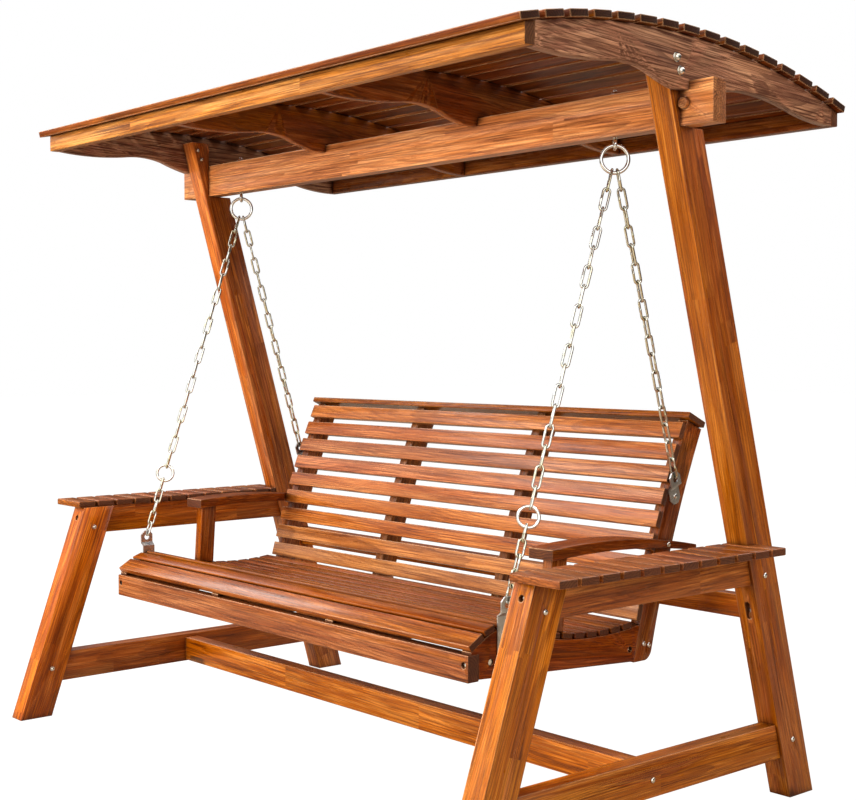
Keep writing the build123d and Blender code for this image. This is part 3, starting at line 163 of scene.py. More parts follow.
class Tree:
    """Short way to add and join shader nodes."""

    def __init__(self, material):
        material.use_nodes = True
        self.tree = material.node_tree
        self.tree.nodes.clear()

    def add(self, kind, inputs=None, **settings):
        node = self.tree.nodes.new("ShaderNode" + kind)
        for key, value in settings.items():
            setattr(node, key, value)
        for key, value in (inputs or {}).items():
            self.put(node.inputs[key], value)
        return node

    def put(self, socket, value):
        if isinstance(value, bpy.types.NodeSocket):
            self.tree.links.new(value, socket)
        elif isinstance(value, bpy.types.Node):
            self.tree.links.new(value.outputs[0], socket)
        else:
            socket.default_value = value

    def math(self, operation, *values):
        node = self.add("Math", operation=operation)
        for socket, value in zip(node.inputs, values):
            self.put(socket, value)
        return node.outputs[0]

    def vector(self, operation, *values, out=0):
        node = self.add("VectorMath", operation=operation)
        for socket, value in zip(node.inputs, values):
            self.put(socket, value)
        return node.outputs[out]

    def combine(self, x, y, z):
        return self.add("CombineXYZ", {"X": x, "Y": y, "Z": z}).outputs[0]

    def noise(self, vector, scale, detail=4.0, rough=0.55, warp=0.0):
        node = self.add(
            "TexNoise",
            {"Vector": vector, "Scale": scale, "Detail": detail, "Roughness": rough, "Distortion": warp},
        )
        return node.outputs[0]

    def ramp(self, value, stops):
        node = self.add("ValToRGB", {"Fac": value})
        node.color_ramp.interpolation = "EASE"
        points = node.color_ramp.elements
        while len(points) < len(stops):
            points.new(0.5)
        for point, (place, colour) in zip(points, stops):
            point.position = place
            point.color = (*colour, 1.0)
        return node.outputs[0]

    def step(self, value, low, high, start=0.0, end=1.0):
        node = self.add(
            "MapRange",
            {"Value": value, "From Min": low, "From Max": high, "To Min": start, "To Max": end},
            interpolation_type="SMOOTHSTEP",
        )
        return node.outputs[0]

    def mix(self, factor, a, b, blend="MIX"):
        node = self.add("Mix", data_type="RGBA", blend_type=blend)
        self.put(node.inputs[0], factor)
        self.put(node.inputs[6], a)
        self.put(node.inputs[7], b)
        return node.outputs[2]

    def output(self, shader, kind="OutputMaterial"):
        self.add(kind, {"Surface": shader})


def wood(
    name,
    light,
    mid,
    dark,
    rough=0.30,
    stave=0.0,
    block=0.36,
    contrast=1.0,
    coat=0.12,
    spread=0.30,
    end_colour=(0.075, 0.034, 0.024),
    end_mix=0.75,
    shine=0.30,
    edge_highlight=0.85,
    edge_highlight_colour=EDGE_HIGHLIGHT_COLOUR,
    every_edge=False,
    gap_shade=0.80,
):
    """Varnished wood. The grain runs along each board's own length, and sawn ends show their rings.

    light, mid and dark are the tones of the grain, and contrast is the strength of its dark lines.
    stave and block are the width and length of finger-jointed pieces; a solid board has no stave.
    rough, coat and shine are the roughness, the clear coat and the specular level of the varnish.
    spread is how far the tint runs from board to board.
    end_colour and end_mix tint the sawn ends, and gap_shade sets the painted shade that darkens the gaps
    between boards.
    edge_highlight and edge_highlight_colour are a painted highlight on rounded edges, on those that face
    away too with every_edge.
    """
    material = bpy.data.materials.new(name)
    t = Tree(material)
    place = t.add("TexCoord")
    along = t.add("Attribute", attribute_name="board_along").outputs["Vector"]
    across = t.add("Attribute", attribute_name="board_across").outputs["Vector"]
    middle = t.add("Attribute", attribute_name="board_middle").outputs["Vector"]
    seed = t.add("Attribute", attribute_name="board_seed").outputs["Fac"]
    through = t.vector("CROSS_PRODUCT", along, across)
    local = t.vector("SUBTRACT", place.outputs["Object"], middle)
    u = t.vector("DOT_PRODUCT", local, along, out=1)
    v = t.vector("DOT_PRODUCT", local, across, out=1)
    w = t.vector("DOT_PRODUCT", local, through, out=1)

    # three lucks for each board, from 0 to 1; factors on a seed or a luck only spread the draws
    luck = t.add("TexWhiteNoise", {"W": t.math("MULTIPLY", seed, 91.7)}, noise_dimensions="1D")
    luck_x, luck_y, luck_z = t.add("SeparateColor", {"Color": luck.outputs["Color"]}).outputs[:3]

    # finger-jointed staves: each block is its own piece of timber
    if stave:
        row = t.math("FLOOR", t.math("ADD", t.math("DIVIDE", v, stave), t.math("MULTIPLY", luck_x, 5.0)))
        slide = t.add("TexWhiteNoise", {"W": t.math("ADD", row, seed)}, noise_dimensions="1D").outputs[0]
        sunk = t.math("DIVIDE", w, stave * STAVE_DEPTH)
        layer = t.math("FLOOR", t.math("ADD", sunk, t.math("MULTIPLY", luck_y, 5.0)))
        column = t.math("FLOOR", t.math("ADD", t.math("DIVIDE", u, block), t.math("MULTIPLY", slide, 7.0)))
        cell = t.combine(row, column, t.math("MULTIPLY_ADD", seed, 53.0, layer))
        block_luck = t.add("TexWhiteNoise", {"Vector": cell}).outputs[0]
    else:
        block_luck = luck_y
    shift = t.math("MULTIPLY", block_luck, 4.0)

    # growth rings about a pith that lies off to one side of the board and runs a little askew
    flow = t.combine(t.math("ADD", v, shift), w, t.math("MULTIPLY", u, 0.22))
    sway = t.noise(flow, 9.0, detail=2.0)
    pith_v = t.math("MULTIPLY_ADD", luck_x, 0.10, -0.05)
    pith_w = t.math("MULTIPLY_ADD", block_luck, 0.07, 0.020)
    askew = t.math("MULTIPLY", u, t.math("MULTIPLY_ADD", luck_z, 0.12, -0.06))
    dv = t.math("ADD", t.math("SUBTRACT", v, pith_v), t.math("MULTIPLY_ADD", sway, 0.08, -0.04))
    dw = t.math("ADD", t.math("ADD", w, pith_w), askew)
    radius = t.math("SQRT", t.math("ADD", t.math("MULTIPLY", dv, dv), t.math("MULTIPLY", dw, dw)))
    wander = t.noise(flow, 30.0, detail=3.0)
    phase = t.math("MULTIPLY_ADD", wander, 1.1, t.math("MULTIPLY", radius, RINGS_PER_METRE))
    ring = t.math("FRACT", phase)
    late = t.math("MULTIPLY", t.step(ring, 0.35, 0.93), t.step(ring, 1.0, 0.95))

    grain_v = t.math("ADD", v, shift)
    grain_w = t.math("ADD", w, shift)

    def grain(recipe, depth, detail, coarse=0.55, warp=0.0):
        scale, along_share = recipe
        vector = t.combine(grain_v, depth, t.math("MULTIPLY", u, along_share))
        return t.noise(vector, scale, detail, coarse, warp)

    fine = grain(FINE, grain_w, 4.0, 0.65)
    band = grain(BAND, grain_w, 3.0, 0.6, 0.4)
    broad = grain(BROAD, w, 3.0)
    thread = t.step(grain(THREAD, grain_w, 3.0, 0.6, 0.3), 0.51, 0.60)
    heart = t.step(grain(HEART, w, 3.0), 0.56, 0.68)
    pore_mask = t.step(grain(PORES, grain_w, 2.0), 0.60, 0.72)

    tone = t.math("MULTIPLY_ADD", band, 0.25, t.math("MULTIPLY", fine, 0.37))
    tone = t.math("MULTIPLY_ADD", broad, 0.38, tone)
    colour = t.ramp(tone, [(0.38, dark), (0.475, mid), (0.58, light)])
    colour = t.mix(t.math("MULTIPLY", late, 0.48 * contrast), colour, (*dark, 1.0))
    colour = t.mix(t.math("MULTIPLY", thread, min(0.72 * contrast, 1.0)), colour, (*dark, 1.0))
    colour = t.mix(t.math("MULTIPLY", heart, 0.45 * contrast), colour, (*dark, 1.0))
    pore_knot_and_gap_dark = tuple(c * 0.4 for c in dark) + (1.0,)
    colour = t.mix(t.math("MULTIPLY", pore_mask, 0.5 * contrast), colour, pore_knot_and_gap_dark)

    # a few knots, drawn out along the grain
    knot_at = t.combine(grain_v, w, t.math("MULTIPLY", u, 0.42))
    cells = t.add("TexVoronoi", {"Vector": knot_at, "Scale": KNOT_CELLS, "Randomness": 1.0})
    knot_luck = t.add("SeparateColor", {"Color": cells.outputs["Color"]}).outputs[0]
    size = t.math("MULTIPLY", t.step(knot_luck, KNOT_RARE, 1.0), 0.11)
    away = t.math("SUBTRACT", cells.outputs["Distance"], size)
    knot = t.math("MULTIPLY", t.step(away, 0.045, -0.02), t.step(knot_luck, KNOT_RARE, 0.88))
    colour = t.mix(t.math("MULTIPLY", knot, 0.85), colour, pore_knot_and_gap_dark)

    # each board, and each block of a laminated one, has its own tint
    bright = t.math("MULTIPLY_ADD", luck_z, spread, 1.0 - spread / 2)
    if stave:
        bright = t.math("MULTIPLY", bright, t.math("MULTIPLY_ADD", block_luck, 0.24, 0.88))
    shade = t.add(
        "HueSaturation",
        {
            "Hue": t.math("MULTIPLY_ADD", luck_y, 0.014, 0.493),
            "Saturation": t.math("MULTIPLY_ADD", luck_x, 0.10, 0.97),
            "Value": bright,
            "Color": colour,
        },
    ).outputs[0]

    # sawn ends are darker, greyer and rougher
    facing = t.math("ABSOLUTE", t.vector("DOT_PRODUCT", place.outputs["Normal"], along, out=1))
    end = t.step(facing, 0.80, 0.93)
    end_rings = t.math("MULTIPLY_ADD", late, -0.40, 1.0)
    end_tint = t.mix(end_mix, shade, (*end_colour, 1.0))
    end_tint = t.mix(1.0, end_tint, t.combine(end_rings, end_rings, end_rings), blend="MULTIPLY")
    shade = t.mix(end, shade, end_tint)

    # painted shade: the narrow gaps between boards are darkened towards the pores' dark tone
    open_air = t.add("AmbientOcclusion", {"Distance": GAP_REACH}, samples=6).outputs["AO"]
    shade = t.mix(t.math("MULTIPLY", t.step(open_air, 0.85, 0.20), gap_shade), shade, pore_knot_and_gap_dark)

    # rounded edges carry a painted highlight, strongest on those that face up and to the front
    soft = t.add("Bevel", {"Radius": EDGE_ROUND}, samples=6)
    surface = t.add("NewGeometry").outputs["Normal"]
    corner = t.step(t.vector("DOT_PRODUCT", soft.outputs[0], surface, out=1), 0.985, 0.90)
    edge_highlight_mask = t.math("MULTIPLY", corner, t.step(t.noise(flow, 40.0), 0.30, 0.60, 0.60, 1.0))
    if not every_edge:
        upward = t.vector("DOT_PRODUCT", soft.outputs[0], HIGHLIGHT_SIDE, out=1)
        edge_highlight_mask = t.math("MULTIPLY", edge_highlight_mask, t.step(upward, 0.40, 0.80, 0.12, 1.0))
    shade = t.mix(t.math("MULTIPLY", edge_highlight_mask, edge_highlight), shade, (*edge_highlight_colour, 1.0))

    smear = t.noise(flow, 40.0, detail=3.0)
    varnish = t.step(smear, 0.3, 0.7, rough - 0.04, rough + 0.10)
    matt = t.math("ADD", varnish, t.math("MULTIPLY", end, 0.25))
    relief = t.math("ADD", t.math("MULTIPLY", fine, 0.6), t.math("MULTIPLY", pore_mask, -0.8))
    bump = t.add("Bump", {"Strength": 0.22, "Distance": 0.6 * MM, "Height": relief, "Normal": soft})
    skin = t.add(
        "BsdfPrincipled",
        {
            "Base Color": shade,
            "Roughness": matt,
            "Normal": bump,
            "Coat Weight": t.math("MULTIPLY_ADD", end, -0.8 * coat, coat),
            "Coat Roughness": 0.14,
            "Specular IOR Level": shine,
        },
    )
    t.output(skin)
    return material


def plated(name, colour, tint, rough=0.20, recess_darkening=0.85):
    """Zinc-plated steel, its passivation a little uneven from piece to piece, with painted shade in its
    recesses.
    """
    material = bpy.data.materials.new(name)
    t = Tree(material)
    where = t.add("TexCoord").outputs["Object"]
    luck = t.add("NewGeometry").outputs["Random Per Island"]
    cloud = t.noise(where, 45.0, detail=3.0)
    amount = t.math("MULTIPLY", t.step(cloud, 0.38, 0.66), t.math("MULTIPLY_ADD", luck, 0.8, 0.2))
    base = t.mix(amount, (*colour, 1.0), (*tint, 1.0))
    # painted shade: the insides of links and other recesses are darkened towards a near-black
    open_air = t.add("AmbientOcclusion", {"Distance": METAL_GAP_REACH}, samples=4).outputs["AO"]
    base = t.mix(t.math("MULTIPLY", t.step(open_air, 0.80, 0.35), recess_darkening), base, RECESS_SHADE_COLOUR)
    skin = t.add(
        "BsdfPrincipled",
        {
            "Base Color": base,
            "Metallic": 1.0,
            "Roughness": t.step(cloud, 0.3, 0.7, rough - 0.05, rough + 0.08),
        },
    )
    t.output(skin)
    return material


# light, middle and dark tone of each wood
PLAIN = ((0.68, 0.238, 0.052), (0.42, 0.104, 0.014), (0.085, 0.017, 0.004))
# the beam's light tone is paler and pinker, partly to stand for the sheen on its front: painted sheen
BEAM = ((0.84, 0.39, 0.135), (0.60, 0.21, 0.050), PLAIN[2])
FASCIA = ((0.84, 0.39, 0.125), (0.60, 0.21, 0.045), PLAIN[2])
BOARD = ((0.54, 0.185, 0.050), (0.31, 0.080, 0.015), (0.07, 0.014, 0.004))
# on the seat's sides these darker tones stand partly for the shade beside the tray: painted shade
DARK_BOARD = ((0.40, 0.115, 0.022), (0.22, 0.050, 0.008), (0.05, 0.010, 0.003))
SLAT = ((0.66, 0.26, 0.080), (0.42, 0.130, 0.032), (0.12, 0.028, 0.007))
SEAT = ((0.42, 0.120, 0.022), (0.25, 0.058, 0.009), (0.07, 0.014, 0.003))
# the roof's slats are seen from below, and their darker tones stand for the shade under the roof: painted
# shade
ROOF = ((0.35, 0.098, 0.018), (0.18, 0.040, 0.006), (0.05, 0.010, 0.002))
TRAY = ((0.50, 0.160, 0.045), (0.31, 0.086, 0.022), (0.085, 0.020, 0.006))
PURPLE = ((0.70, 0.40, 0.27), (0.44, 0.22, 0.14), (0.10, 0.034, 0.022))

timber = wood("timber", *PLAIN, stave=STAVE, block=TIMBER_BLOCK, contrast=0.85)
beam_timber = wood(
    "beam_timber",
    *BEAM,
    rough=0.34,
    stave=STAVE,
    block=BEAM_BLOCK,
    end_mix=0.45,
    coat=0.25,
    shine=0.5,
)
fascia_timber = wood("fascia_timber", *FASCIA, stave=STAVE, block=BEAM_BLOCK, end_mix=0.85)
board = wood("board", *BOARD, rough=0.26)
dark_board = wood("dark_board", *DARK_BOARD, coat=0.0, shine=0.15)
slat = wood("slat", *SLAT, rough=0.22, coat=0.3, edge_highlight=0.9)
seat_slat = wood(
    "seat_slat",
    *SEAT,
    rough=0.20,
    coat=0.08,
    shine=0.15,
    contrast=0.7,
    edge_highlight_colour=(0.86, 0.43, 0.16),
    gap_shade=0.95,
)
# painted highlight on every edge of the roof's slats, for their bright lower edges
roof_slat = wood(
    "roof_slat",
    *ROOF,
    rough=0.32,
    end_colour=(0.030, 0.016, 0.014),
    end_mix=0.9,
    coat=0.0,
    shine=0.12,
    edge_highlight=1.0,
    every_edge=True,
    gap_shade=0.9,
)
tray_slat = wood("tray_slat", *TRAY, coat=0.1, shine=0.2, edge_highlight=1.0, gap_shade=0.95)
end_rafter = wood("end_rafter", *PURPLE, rough=0.45, contrast=1.4, coat=0.05, edge_highlight=0.4)
zinc = plated("zinc", (0.92, 0.91, 0.88), (0.92, 0.86, 0.70), rough=0.16, recess_darkening=0.2)
chain_zinc = plated("chain_zinc", (0.84, 0.84, 0.78), (0.80, 0.74, 0.46), rough=0.14, recess_darkening=0.8)
dull_zinc = plated("dull_zinc", (0.66, 0.66, 0.67), (0.44, 0.43, 0.40), rough=0.30, recess_darkening=0.6)

# ------------------------------------------------------------------ wood on the CAD nodes
LAMINATED = ("front_leg", "rear_post", "tray_rail", "foot_rail", "centre_stretcher", "rear_cross_rail")
JOINERY = ("rear_fascia", "front_seat_rail", "rear_seat_rail", "seat_bearers", "seat_nose")
JOINERY += ("back_upright", "arm_post", "back_cap", "roof_rafter_inner")
WOOD_OF = (
    (("roof_rafter_end",), end_rafter),
    (("top_beam", "beam_pegs"), beam_timber),
    (("front_fascia",), fascia_timber),
    (LAMINATED, timber),
    (("seat_side", "armrest"), dark_board),
    (("tray_slats",), tray_slat),
    (("roof_slats",), roof_slat),
    (("seat_slats",), seat_slat),
    (JOINERY, board),
)


def wood_for(name):
    """The first row of WOOD_OF that a node's name starts with; the slats of the back have no row."""
    for starts, material in WOOD_OF:
        if name.startswith(starts):
            return material
    return slat


def bevel_for(name):
    if name.startswith(("seat_slats", "tray_slats")):
        return ROUNDED_SLAT_BEVEL
    return SLAT_BEVEL if "slat" in name or "peg" in name else WOOD_BEVEL


def weld(node):
    """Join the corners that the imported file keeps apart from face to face."""
    join = node.modifiers.new("weld", "WELD")
    join.merge_threshold = SAME_PLACE


def round_edges(node, width):
    edge = node.modifiers.new("edge", "BEVEL")
    edge.width = width
    edge.segments = 2
    edge.limit_method = "ANGLE"
    edge.angle_limit = SHARP
    return edge


def dress(node, material):
    node.data.materials.clear()
    node.data.materials.append(material)


def finish_wood(name):
    """Give a wooden node its grain directions, rounded edges and material."""
    node = nodes[name]
    mesh = node.data
    groups, co = solids_of(node)
    fields = {
        "board_along": np.zeros((len(co), 3)),
        "board_across": np.zeros((len(co), 3)),
        "board_middle": np.zeros((len(co), 3)),
    }
    seeds = np.zeros(len(co))
    for index in groups:
        middle, along, across, _ = axes_of(node, index, co)
        fields["board_along"][index] = along
        fields["board_across"][index] = across
        fields["board_middle"][index] = middle
        seeds[index] = rng.random()
    for key, value in fields.items():
        layer = mesh.attributes.new(key, "FLOAT_VECTOR", "POINT")
        layer.data.foreach_set("vector", value.astype(np.float32).ravel())
    layer = mesh.attributes.new("board_seed", "FLOAT", "POINT")
    layer.data.foreach_set("value", seeds.astype(np.float32))
    mesh.polygons.foreach_set("use_smooth", [True] * len(mesh.polygons))
    weld(node)
    flatten = node.modifiers.new("flatten", "DECIMATE")
    flatten.decimate_type = "DISSOLVE"
    flatten.angle_limit = FLAT
    round_edges(node, bevel_for(name)).harden_normals = True
    dress(node, wood_for(name))


METAL = ("chain", "hanger", "frame_bolts", "frame_nuts", "frame_washers", "rafter_bolts")
METAL += ("stretcher", "bracket", "bench_screws", "bench_barrel", "front_brackets", "rear_brackets")
for name in sorted(nodes):
    if not name.startswith(METAL):
        finish_wood(name)

# ------------------------------------------------------------------ round metalwork


def new_object(name, bm, material, body, smooth=True):
    mesh = bpy.data.meshes.new(name)
    bm.to_mesh(mesh)
    bm.free()
    mesh.polygons.foreach_set("use_smooth", [smooth] * len(mesh.polygons))
    mesh.materials.append(material)
    made = bpy.data.objects.new(name, mesh)
    scene.collection.objects.link(made)
    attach(made, body)
    return made


def tube(bm, path, radii, place, sides):
    """Closed loop of round bar along a flat path in the local XY plane, put in place by a matrix."""
    count = len(path)
    rings = []
    for i, (point, radius) in enumerate(zip(path, radii)):
        ahead = path[(i + 1) % count]
        behind = path[i - 1]
        tangent = (Vector(ahead) - Vector(behind)).normalized()
        side = Vector((-tangent.y, tangent.x, 0.0))
        ring = []
        for k in range(sides):
            a = 2 * pi * k / sides
            offset = side * (radius * cos(a)) + Vector((0, 0, radius * sin(a)))
            ring.append(bm.verts.new(place @ (Vector(point) + offset)))
        rings.append(ring)
    for i in range(count):
        a, b = rings[i], rings[(i + 1) % count]
        for k in range(sides):
            bm.faces.new((a[k], a[(k + 1) % sides], b[(k + 1) % sides], b[k]))


def link_path(straight):
    """Centre line of a long link: two straight sides and two half circles, with the weld on one side."""
    path, radii = [], []
    for sign in (1, -1):
        for k in range(LINK_BEND_STEPS + 1):
            a = pi * k / LINK_BEND_STEPS
            y = straight / 2 + LINK_HALF_WIDTH * sin(a)
            path.append((sign * LINK_HALF_WIDTH * cos(a), sign * y, 0.0))
            radii.append(LINK_WIRE)
        if sign == 1:
            for y, swell in LINK_WELD:
                path.append((-LINK_HALF_WIDTH, y * MM, 0.0))
                radii.append(LINK_WIRE * swell)
    return path, radii


def upright_matrix(middle, along, normal):
    """Local Y goes along the piece, local Z along its normal."""
    y = Vector(along).normalized()
    z = Vector(normal).normalized()
    x = y.cross(z)
    return Matrix.Translation(Vector(middle)) @ Matrix((x, y, z)).transposed().to_4x4()


def chain_from(name):
    node = nodes[name]
    bm = bmesh.new()
    groups, co = solids_of(node)
    for index in groups:
        middle, along, _, normal = axes_of(node, index, co)
        reach = (co[index] - middle) @ along
        length = reach.max() - reach.min()
        middle = middle + along * (reach.max() + reach.min()) / 2
        straight = length - 2 * LINK_WIRE - 2 * LINK_HALF_WIDTH
        path, radii = link_path(straight)
        flip = 1 if rng.random() < 0.5 else -1
        tube(bm, path, radii, upright_matrix(middle, along * flip, normal), sides=10)
    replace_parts(new_object(name + "_links", bm, chain_zinc, "bench"), name)


for name in ("chain_front_left", "chain_front_right", "chain_rear_left", "chain_rear_right"):
    chain_from(name)


def ring_path(radius, count=40):
    return [(radius * cos(2 * pi * k / count), radius * sin(2 * pi * k / count), 0.0) for k in range(count)]


def rings_from(name, wire, body):
    """Round rings in place of the faceted ones, in each one's own plane."""
    node = nodes[name]
    bm = bmesh.new()
    groups, co = solids_of(node)
    for index in groups:
        middle, _, _, normal = axes_of(node, index, co)
        flat = co[index] - middle
        flat = flat - np.outer(flat @ normal, normal)
        corner = np.linalg.norm(flat, axis=1).max()
        radius = corner * cos(pi / RING_SIDES) - wire
        place = upright_matrix(middle, np.cross(normal, (1.0, 0.0, 0.0)), normal)
        path = ring_path(radius)
        tube(bm, path, [wire] * len(path), place, sides=16)
    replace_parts(new_object(name + "_round", bm, zinc, body), name)


rings_from("hanger_rings", RING_WIRE, "bench")
rings_from("chain_mid_rings", MID_RING_WIRE, "bench")


def turned(bm, profile, place, sides=32):
    """Solid turned about local Z from (radius, height) pairs; a radius of 0 closes it."""
    rings = []
    for radius, height in profile:
        if radius < ON_AXIS:
            rings.append([bm.verts.new(place @ Vector((0, 0, height)))])
            continue
        ring = []
        for k in range(sides):
            a = 2 * pi * k / sides
            ring.append(bm.verts.new(place @ Vector((radius * cos(a), radius * sin(a), height))))
        rings.append(ring)
    for low, high in zip(rings, rings[1:]):
        for k in range(sides):
            n = (k + 1) % sides
            corners = [low[k % len(low)], low[n % len(low)], high[n % len(high)], high[k % len(high)]]
            unique = list(dict.fromkeys(corners))
            if len(unique) > 2:
                bm.faces.new(unique)


def pointing(base, direction):
    """Local Z along a direction, from a base point."""
    return Matrix.Translation(Vector(base)) @ Vector(direction).to_track_quat("Z", "Y").to_matrix().to_4x4()


def dome_head(bm, seat, outward, head_r, head_h, shank_r, shank_len):
    """Plain round head, on a shank that goes back into the work."""
    out = Vector(outward)
    profile = [(0.0, -shank_len), (shank_r * 0.8, -shank_len), (shank_r, -shank_len + shank_r * 0.4)]
    profile += [(shank_r, 0.0), (head_r, 0.0), (head_r, head_h * HEAD_RIM)]
    for k in range(1, HEAD_STEPS + 1):
        a = pi / 2 * k / HEAD_STEPS
        profile.append((head_r * cos(a), head_h * (HEAD_RIM + (1 - HEAD_RIM) * sin(a))))
    turned(bm, profile, pointing(seat, out))


def screws_from(name, body):
    """Domed screws and bolts in place of the faceted ones, each along its own axis."""
    node = nodes[name]
    bm = bmesh.new()
    groups, co = solids_of(node)
    for index in groups:
        pts = co[index]
        low, high = pts.min(0), pts.max(0)
        axis = int(np.argmax(high - low))
        others = [k for k in range(3) if k != axis]
        middle = (low + high) / 2
        reach = np.hypot(*(pts[:, others] - middle[others]).T)
        head = pts[reach > HEAD_SHARE * reach.max()][:, axis]
        sign = 1 if head.mean() > middle[axis] else -1
        outward = np.zeros(3)
        outward[axis] = sign
        head_h = head.max() - head.min()
        seat = middle.copy()
        seat[axis] = head.min() if sign > 0 else head.max()
        tail = low[axis] if sign > 0 else high[axis]
        shank_r = reach[np.abs(pts[:, axis] - tail) < AT_TAIL].max()
        dome_head(bm, seat, outward, reach.max(), head_h, shank_r, abs(seat[axis] - tail))
    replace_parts(new_object(name + "_round", bm, zinc, body), name)


for name, body in (
    ("frame_bolts", "frame"),
    ("rafter_bolts", "frame"),
    ("stretcher_bolts", "frame"),
    ("bracket_screws", "bench"),
    ("bench_screws", "bench"),
):
    screws_from(name, body)


def discs_from(name, body, hole_r, axis):
    """Flat washers with softened rims."""
    node = nodes[name]
    bm = bmesh.new()
    groups, co = solids_of(node)
    for index in groups:
        low, high = co[index].min(0), co[index].max(0)
        middle = (low + high) / 2
        thick = (high - low)[axis]
        others = [k for k in range(3) if k != axis]
        radius = (high - low)[others].max() / 2
        lip = thick / 4
        half = thick / 2
        direction = np.zeros(3)
        direction[axis] = 1
        profile = [(hole_r, -half), (radius - lip, -half), (radius, -half + lip)]
        profile += [(radius, half - lip), (radius - lip, half), (hole_r, half), (hole_r, -half)]
        turned(bm, profile, pointing(middle, direction))
    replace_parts(new_object(name + "_round", bm, zinc, body, smooth=False), name)


discs_from("frame_washers", "frame", FRAME_WASHER_HOLE, 0)
discs_from("hanger_washers", "frame", HANGER_WASHER_HOLE, 2)


def eye_bolts():
    """Round eyes on round shanks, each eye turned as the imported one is."""
    node = nodes["hanger_eye_bolts"]
    bm = bmesh.new()
    groups, co = solids_of(node)
    for index in groups:
        pts = co[index]
        low, high = pts.min(0), pts.max(0)
        x, y = (low[0] + high[0]) / 2, (low[1] + high[1]) / 2
        flat = np.hypot(pts[:, 0] - x, pts[:, 1] - y)
        widest = pts[int(np.argmax(flat))]
        across = Vector((widest[0] - x, widest[1] - y, 0.0)).normalized()
        radius = flat.max() * cos(pi / RING_SIDES) - EYE_WIRE
        centre = Vector((x, y, low[2] + radius + EYE_WIRE))
        path = ring_path(radius, 32)
        facing = across.cross(Vector((0, 0, 1)))
        tube(bm, path, [EYE_WIRE] * len(path), upright_matrix(centre, (0, 0, 1), facing), sides=14)
        start = centre.z + radius
        top = high[2] - start
        tip = EYE_SHANK - SHANK_CHAMFER
        profile = [(0.0, 0.0), (EYE_SHANK, 0.0), (EYE_SHANK, top - SHANK_CHAMFER), (tip, top), (0.0, top)]
        turned(bm, profile, pointing((x, y, start), (0, 0, 1)), sides=24)
    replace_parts(new_object("hanger_eye_bolts_round", bm, zinc, "frame"), "hanger_eye_bolts")


eye_bolts()

for name in ("frame_nuts", "hanger_nuts", "stretcher_nuts", "bench_barrel_nuts"):
    dress(nodes[name], zinc)
for name in ("front_brackets", "rear_brackets"):
    dress(nodes[name], dull_zinc)
    weld(nodes[name])
    round_edges(nodes[name], PLATE_BEVEL)

# ------------------------------------------------------------------ floor, light, camera
WHITE = (1.0, 1.0, 1.0, 1.0)
FLOOR_SEEN = (0.90, 0.90, 0.90, 1.0)
FLOOR_CAST = (0.42, 0.37, 0.31, 1.0)  # what the floor throws back at the swing
FLOOR_GLOW, FLOOR_GLOW_SHARE = 1.12, 0.86
FILL_COLOUR, FILL_STRENGTH = (1.0, 0.90, 0.78, 1.0), 0.42
ROOM = ((0.46, 0.02), (0.56, 0.03), (0.68, 0.22), (0.86, 1.3))  # height and brightness
BEHIND_CAMERA = (0.75, -0.66, 0.0)
BEFORE_SWING = (-0.75, -0.66, 0.0)

floor_mesh = bpy.data.meshes.new("floor")
corners = [(x * FLOOR_HALF, y * FLOOR_HALF, 0) for x, y in ((-1, -1), (1, -1), (1, 1), (-1, 1))]
floor_mesh.from_pydata(corners, [], [(0, 1, 2, 3)])
floor = bpy.data.objects.new("floor", floor_mesh)
scene.collection.objects.link(floor)
pale = bpy.data.materials.new("pale_floor")
t = Tree(pale)
seen = t.add("LightPath").outputs["Is Camera Ray"]
bare = t.add("BsdfDiffuse", {"Color": t.mix(seen, FLOOR_CAST, FLOOR_SEEN)})
lit = t.add("Emission", {"Color": WHITE, "Strength": FLOOR_GLOW})
t.output(t.add("MixShader", {0: t.math("MULTIPLY", seen, FLOOR_GLOW_SHARE), 1: bare, 2: lit}))
floor_mesh.materials.append(pale)

# white to the camera, an even fill on the swing, and a graded room in its reflections
world = bpy.data.worlds.new("studio")
scene.world = world
t = Tree(world)
path = t.add("LightPath")
gaze = t.add("TexCoord").outputs["Generated"]
height = t.add("SeparateXYZ", {"Vector": gaze}).outputs["Z"]
room = t.ramp(t.math("MULTIPLY_ADD", height, 0.5, 0.5), [(at, (grey,) * 3) for at, grey in ROOM])
# a bright wall behind the camera for the round metal, and a dimmer one before the swing
wall = t.step(t.vector("DOT_PRODUCT", gaze, BEHIND_CAMERA, out=1), 0.64, 0.92, 0.0, 1.9)
front = t.step(t.vector("DOT_PRODUCT", gaze, BEFORE_SWING, out=1), 0.55, 0.95, 0.0, 0.7)
wall = t.math("ADD", wall, front)
room = t.mix(1.0, room, t.combine(wall, wall, wall), blend="ADD")
shine = t.add("Background", {"Color": room, "Strength": 1.0})
fill = t.add("Background", {"Color": FILL_COLOUR, "Strength": FILL_STRENGTH})
white = t.add("Background", {"Color": WHITE, "Strength": 1.0})
around = t.add("MixShader", {0: path.outputs["Is Glossy Ray"], 1: fill, 2: shine})
t.output(t.add("MixShader", {0: path.outputs["Is Camera Ray"], 1: around, 2: white}), "OutputWorld")


def area_light(name, place, target, width, height, power, colour, glossy):
    data = bpy.data.lights.new(name, "AREA")
    data.shape = "RECTANGLE"
    data.size = width
    data.size_y = height
    data.energy = power
    data.color = colour
    lamp = bpy.data.objects.new(name, data)
    scene.collection.objects.link(lamp)
    lamp.location = place
    lamp.rotation_mode = "QUATERNION"
    lamp.rotation_quaternion = (Vector(target) - Vector(place)).to_track_quat("-Z", "Y")
    lamp.visible_glossy = glossy


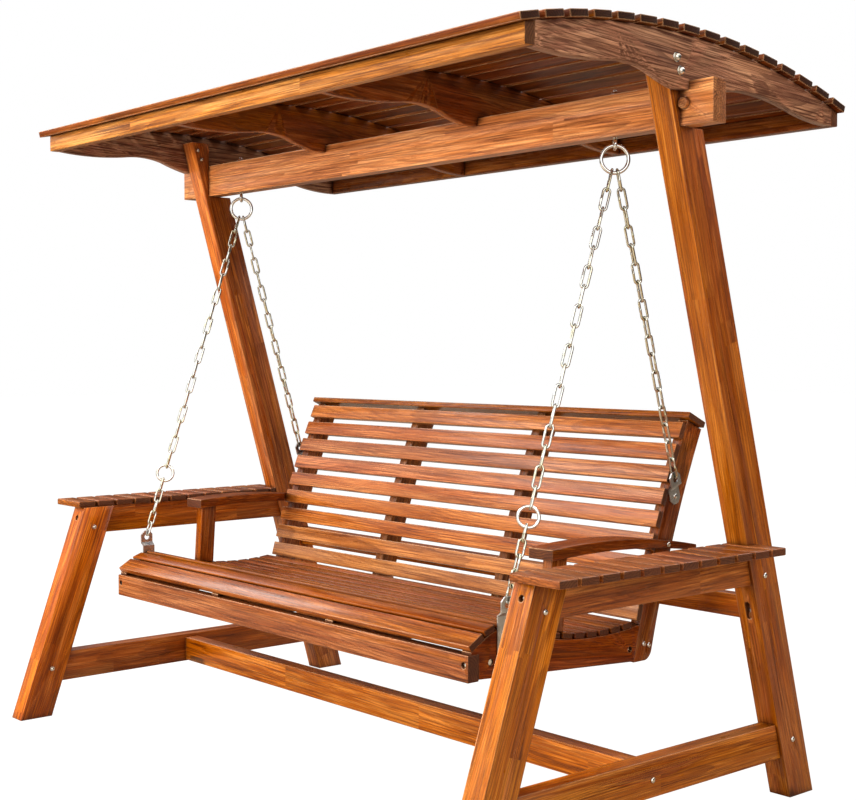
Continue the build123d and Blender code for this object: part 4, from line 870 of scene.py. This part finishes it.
LIGHTS = (
    # name, place, target, width, height, power, colour, seen in reflections
    ("key", (-1.0, -5.1, 1.5), (0.0, 0.0, 0.9), 2.4, 1.8, 352.0, (1.0, 0.95, 0.90), False),
    ("side", (4.4, 0.5, 2.3), (0.6, 0.0, 0.8), 2.2, 2.2, 66.0, (1.0, 0.82, 0.60), False),
    ("sheen", (-2.9, -3.0, 4.2), (0.0, 0.1, 0.7), 2.6, 2.6, 60.0, (1.0, 0.97, 0.93), True),
    ("back", (0.2, 4.2, 4.4), (0.0, 0.2, 0.8), 3.0, 1.6, 110.0, (1.0, 0.96, 0.90), True),
    ("rim", (-4.6, -0.4, 4.2), (0.0, 0.0, 0.6), 2.0, 2.0, 60.0, (1.0, 0.97, 0.92), True),
    ("sky", (0.3, -2.6, 5.0), (0.0, 0.0, 1.7), 1.2, 1.2, 120.0, (1.0, 0.94, 0.84), False),
)
for light in LIGHTS:
    area_light(*light)

# fitted to the photograph: image, focal length and centre in its pixels, place in metres
IMAGE_WIDTH, IMAGE_HEIGHT = 856.0, 800.0
FOCAL = 1454.5
CENTRE_X, CENTRE_Y = 435.8, 406.2
YAW, PITCH = radians(48.931), radians(-2.142)
CAMERA_PLACE = (3.0772, -2.4896, 1.0893)
SENSOR = 36.0
camera_data = bpy.data.cameras.new("camera")
camera = bpy.data.objects.new("camera", camera_data)
scene.collection.objects.link(camera)
scene.camera = camera
camera_data.sensor_fit = "HORIZONTAL"
camera_data.sensor_width = SENSOR
camera_data.lens = FOCAL / IMAGE_WIDTH * SENSOR
camera_data.shift_x = -(CENTRE_X - IMAGE_WIDTH / 2) / IMAGE_WIDTH
camera_data.shift_y = (CENTRE_Y - IMAGE_HEIGHT / 2) / IMAGE_WIDTH
camera.location = CAMERA_PLACE
forward = Vector((-sin(YAW) * cos(PITCH), cos(YAW) * cos(PITCH), sin(PITCH)))
camera.rotation_mode = "QUATERNION"
camera.rotation_quaternion = forward.to_track_quat("-Z", "Y")
camera_data.clip_start = 0.05
camera_data.clip_end = 60.0
scene.view_settings.view_transform = "Standard"
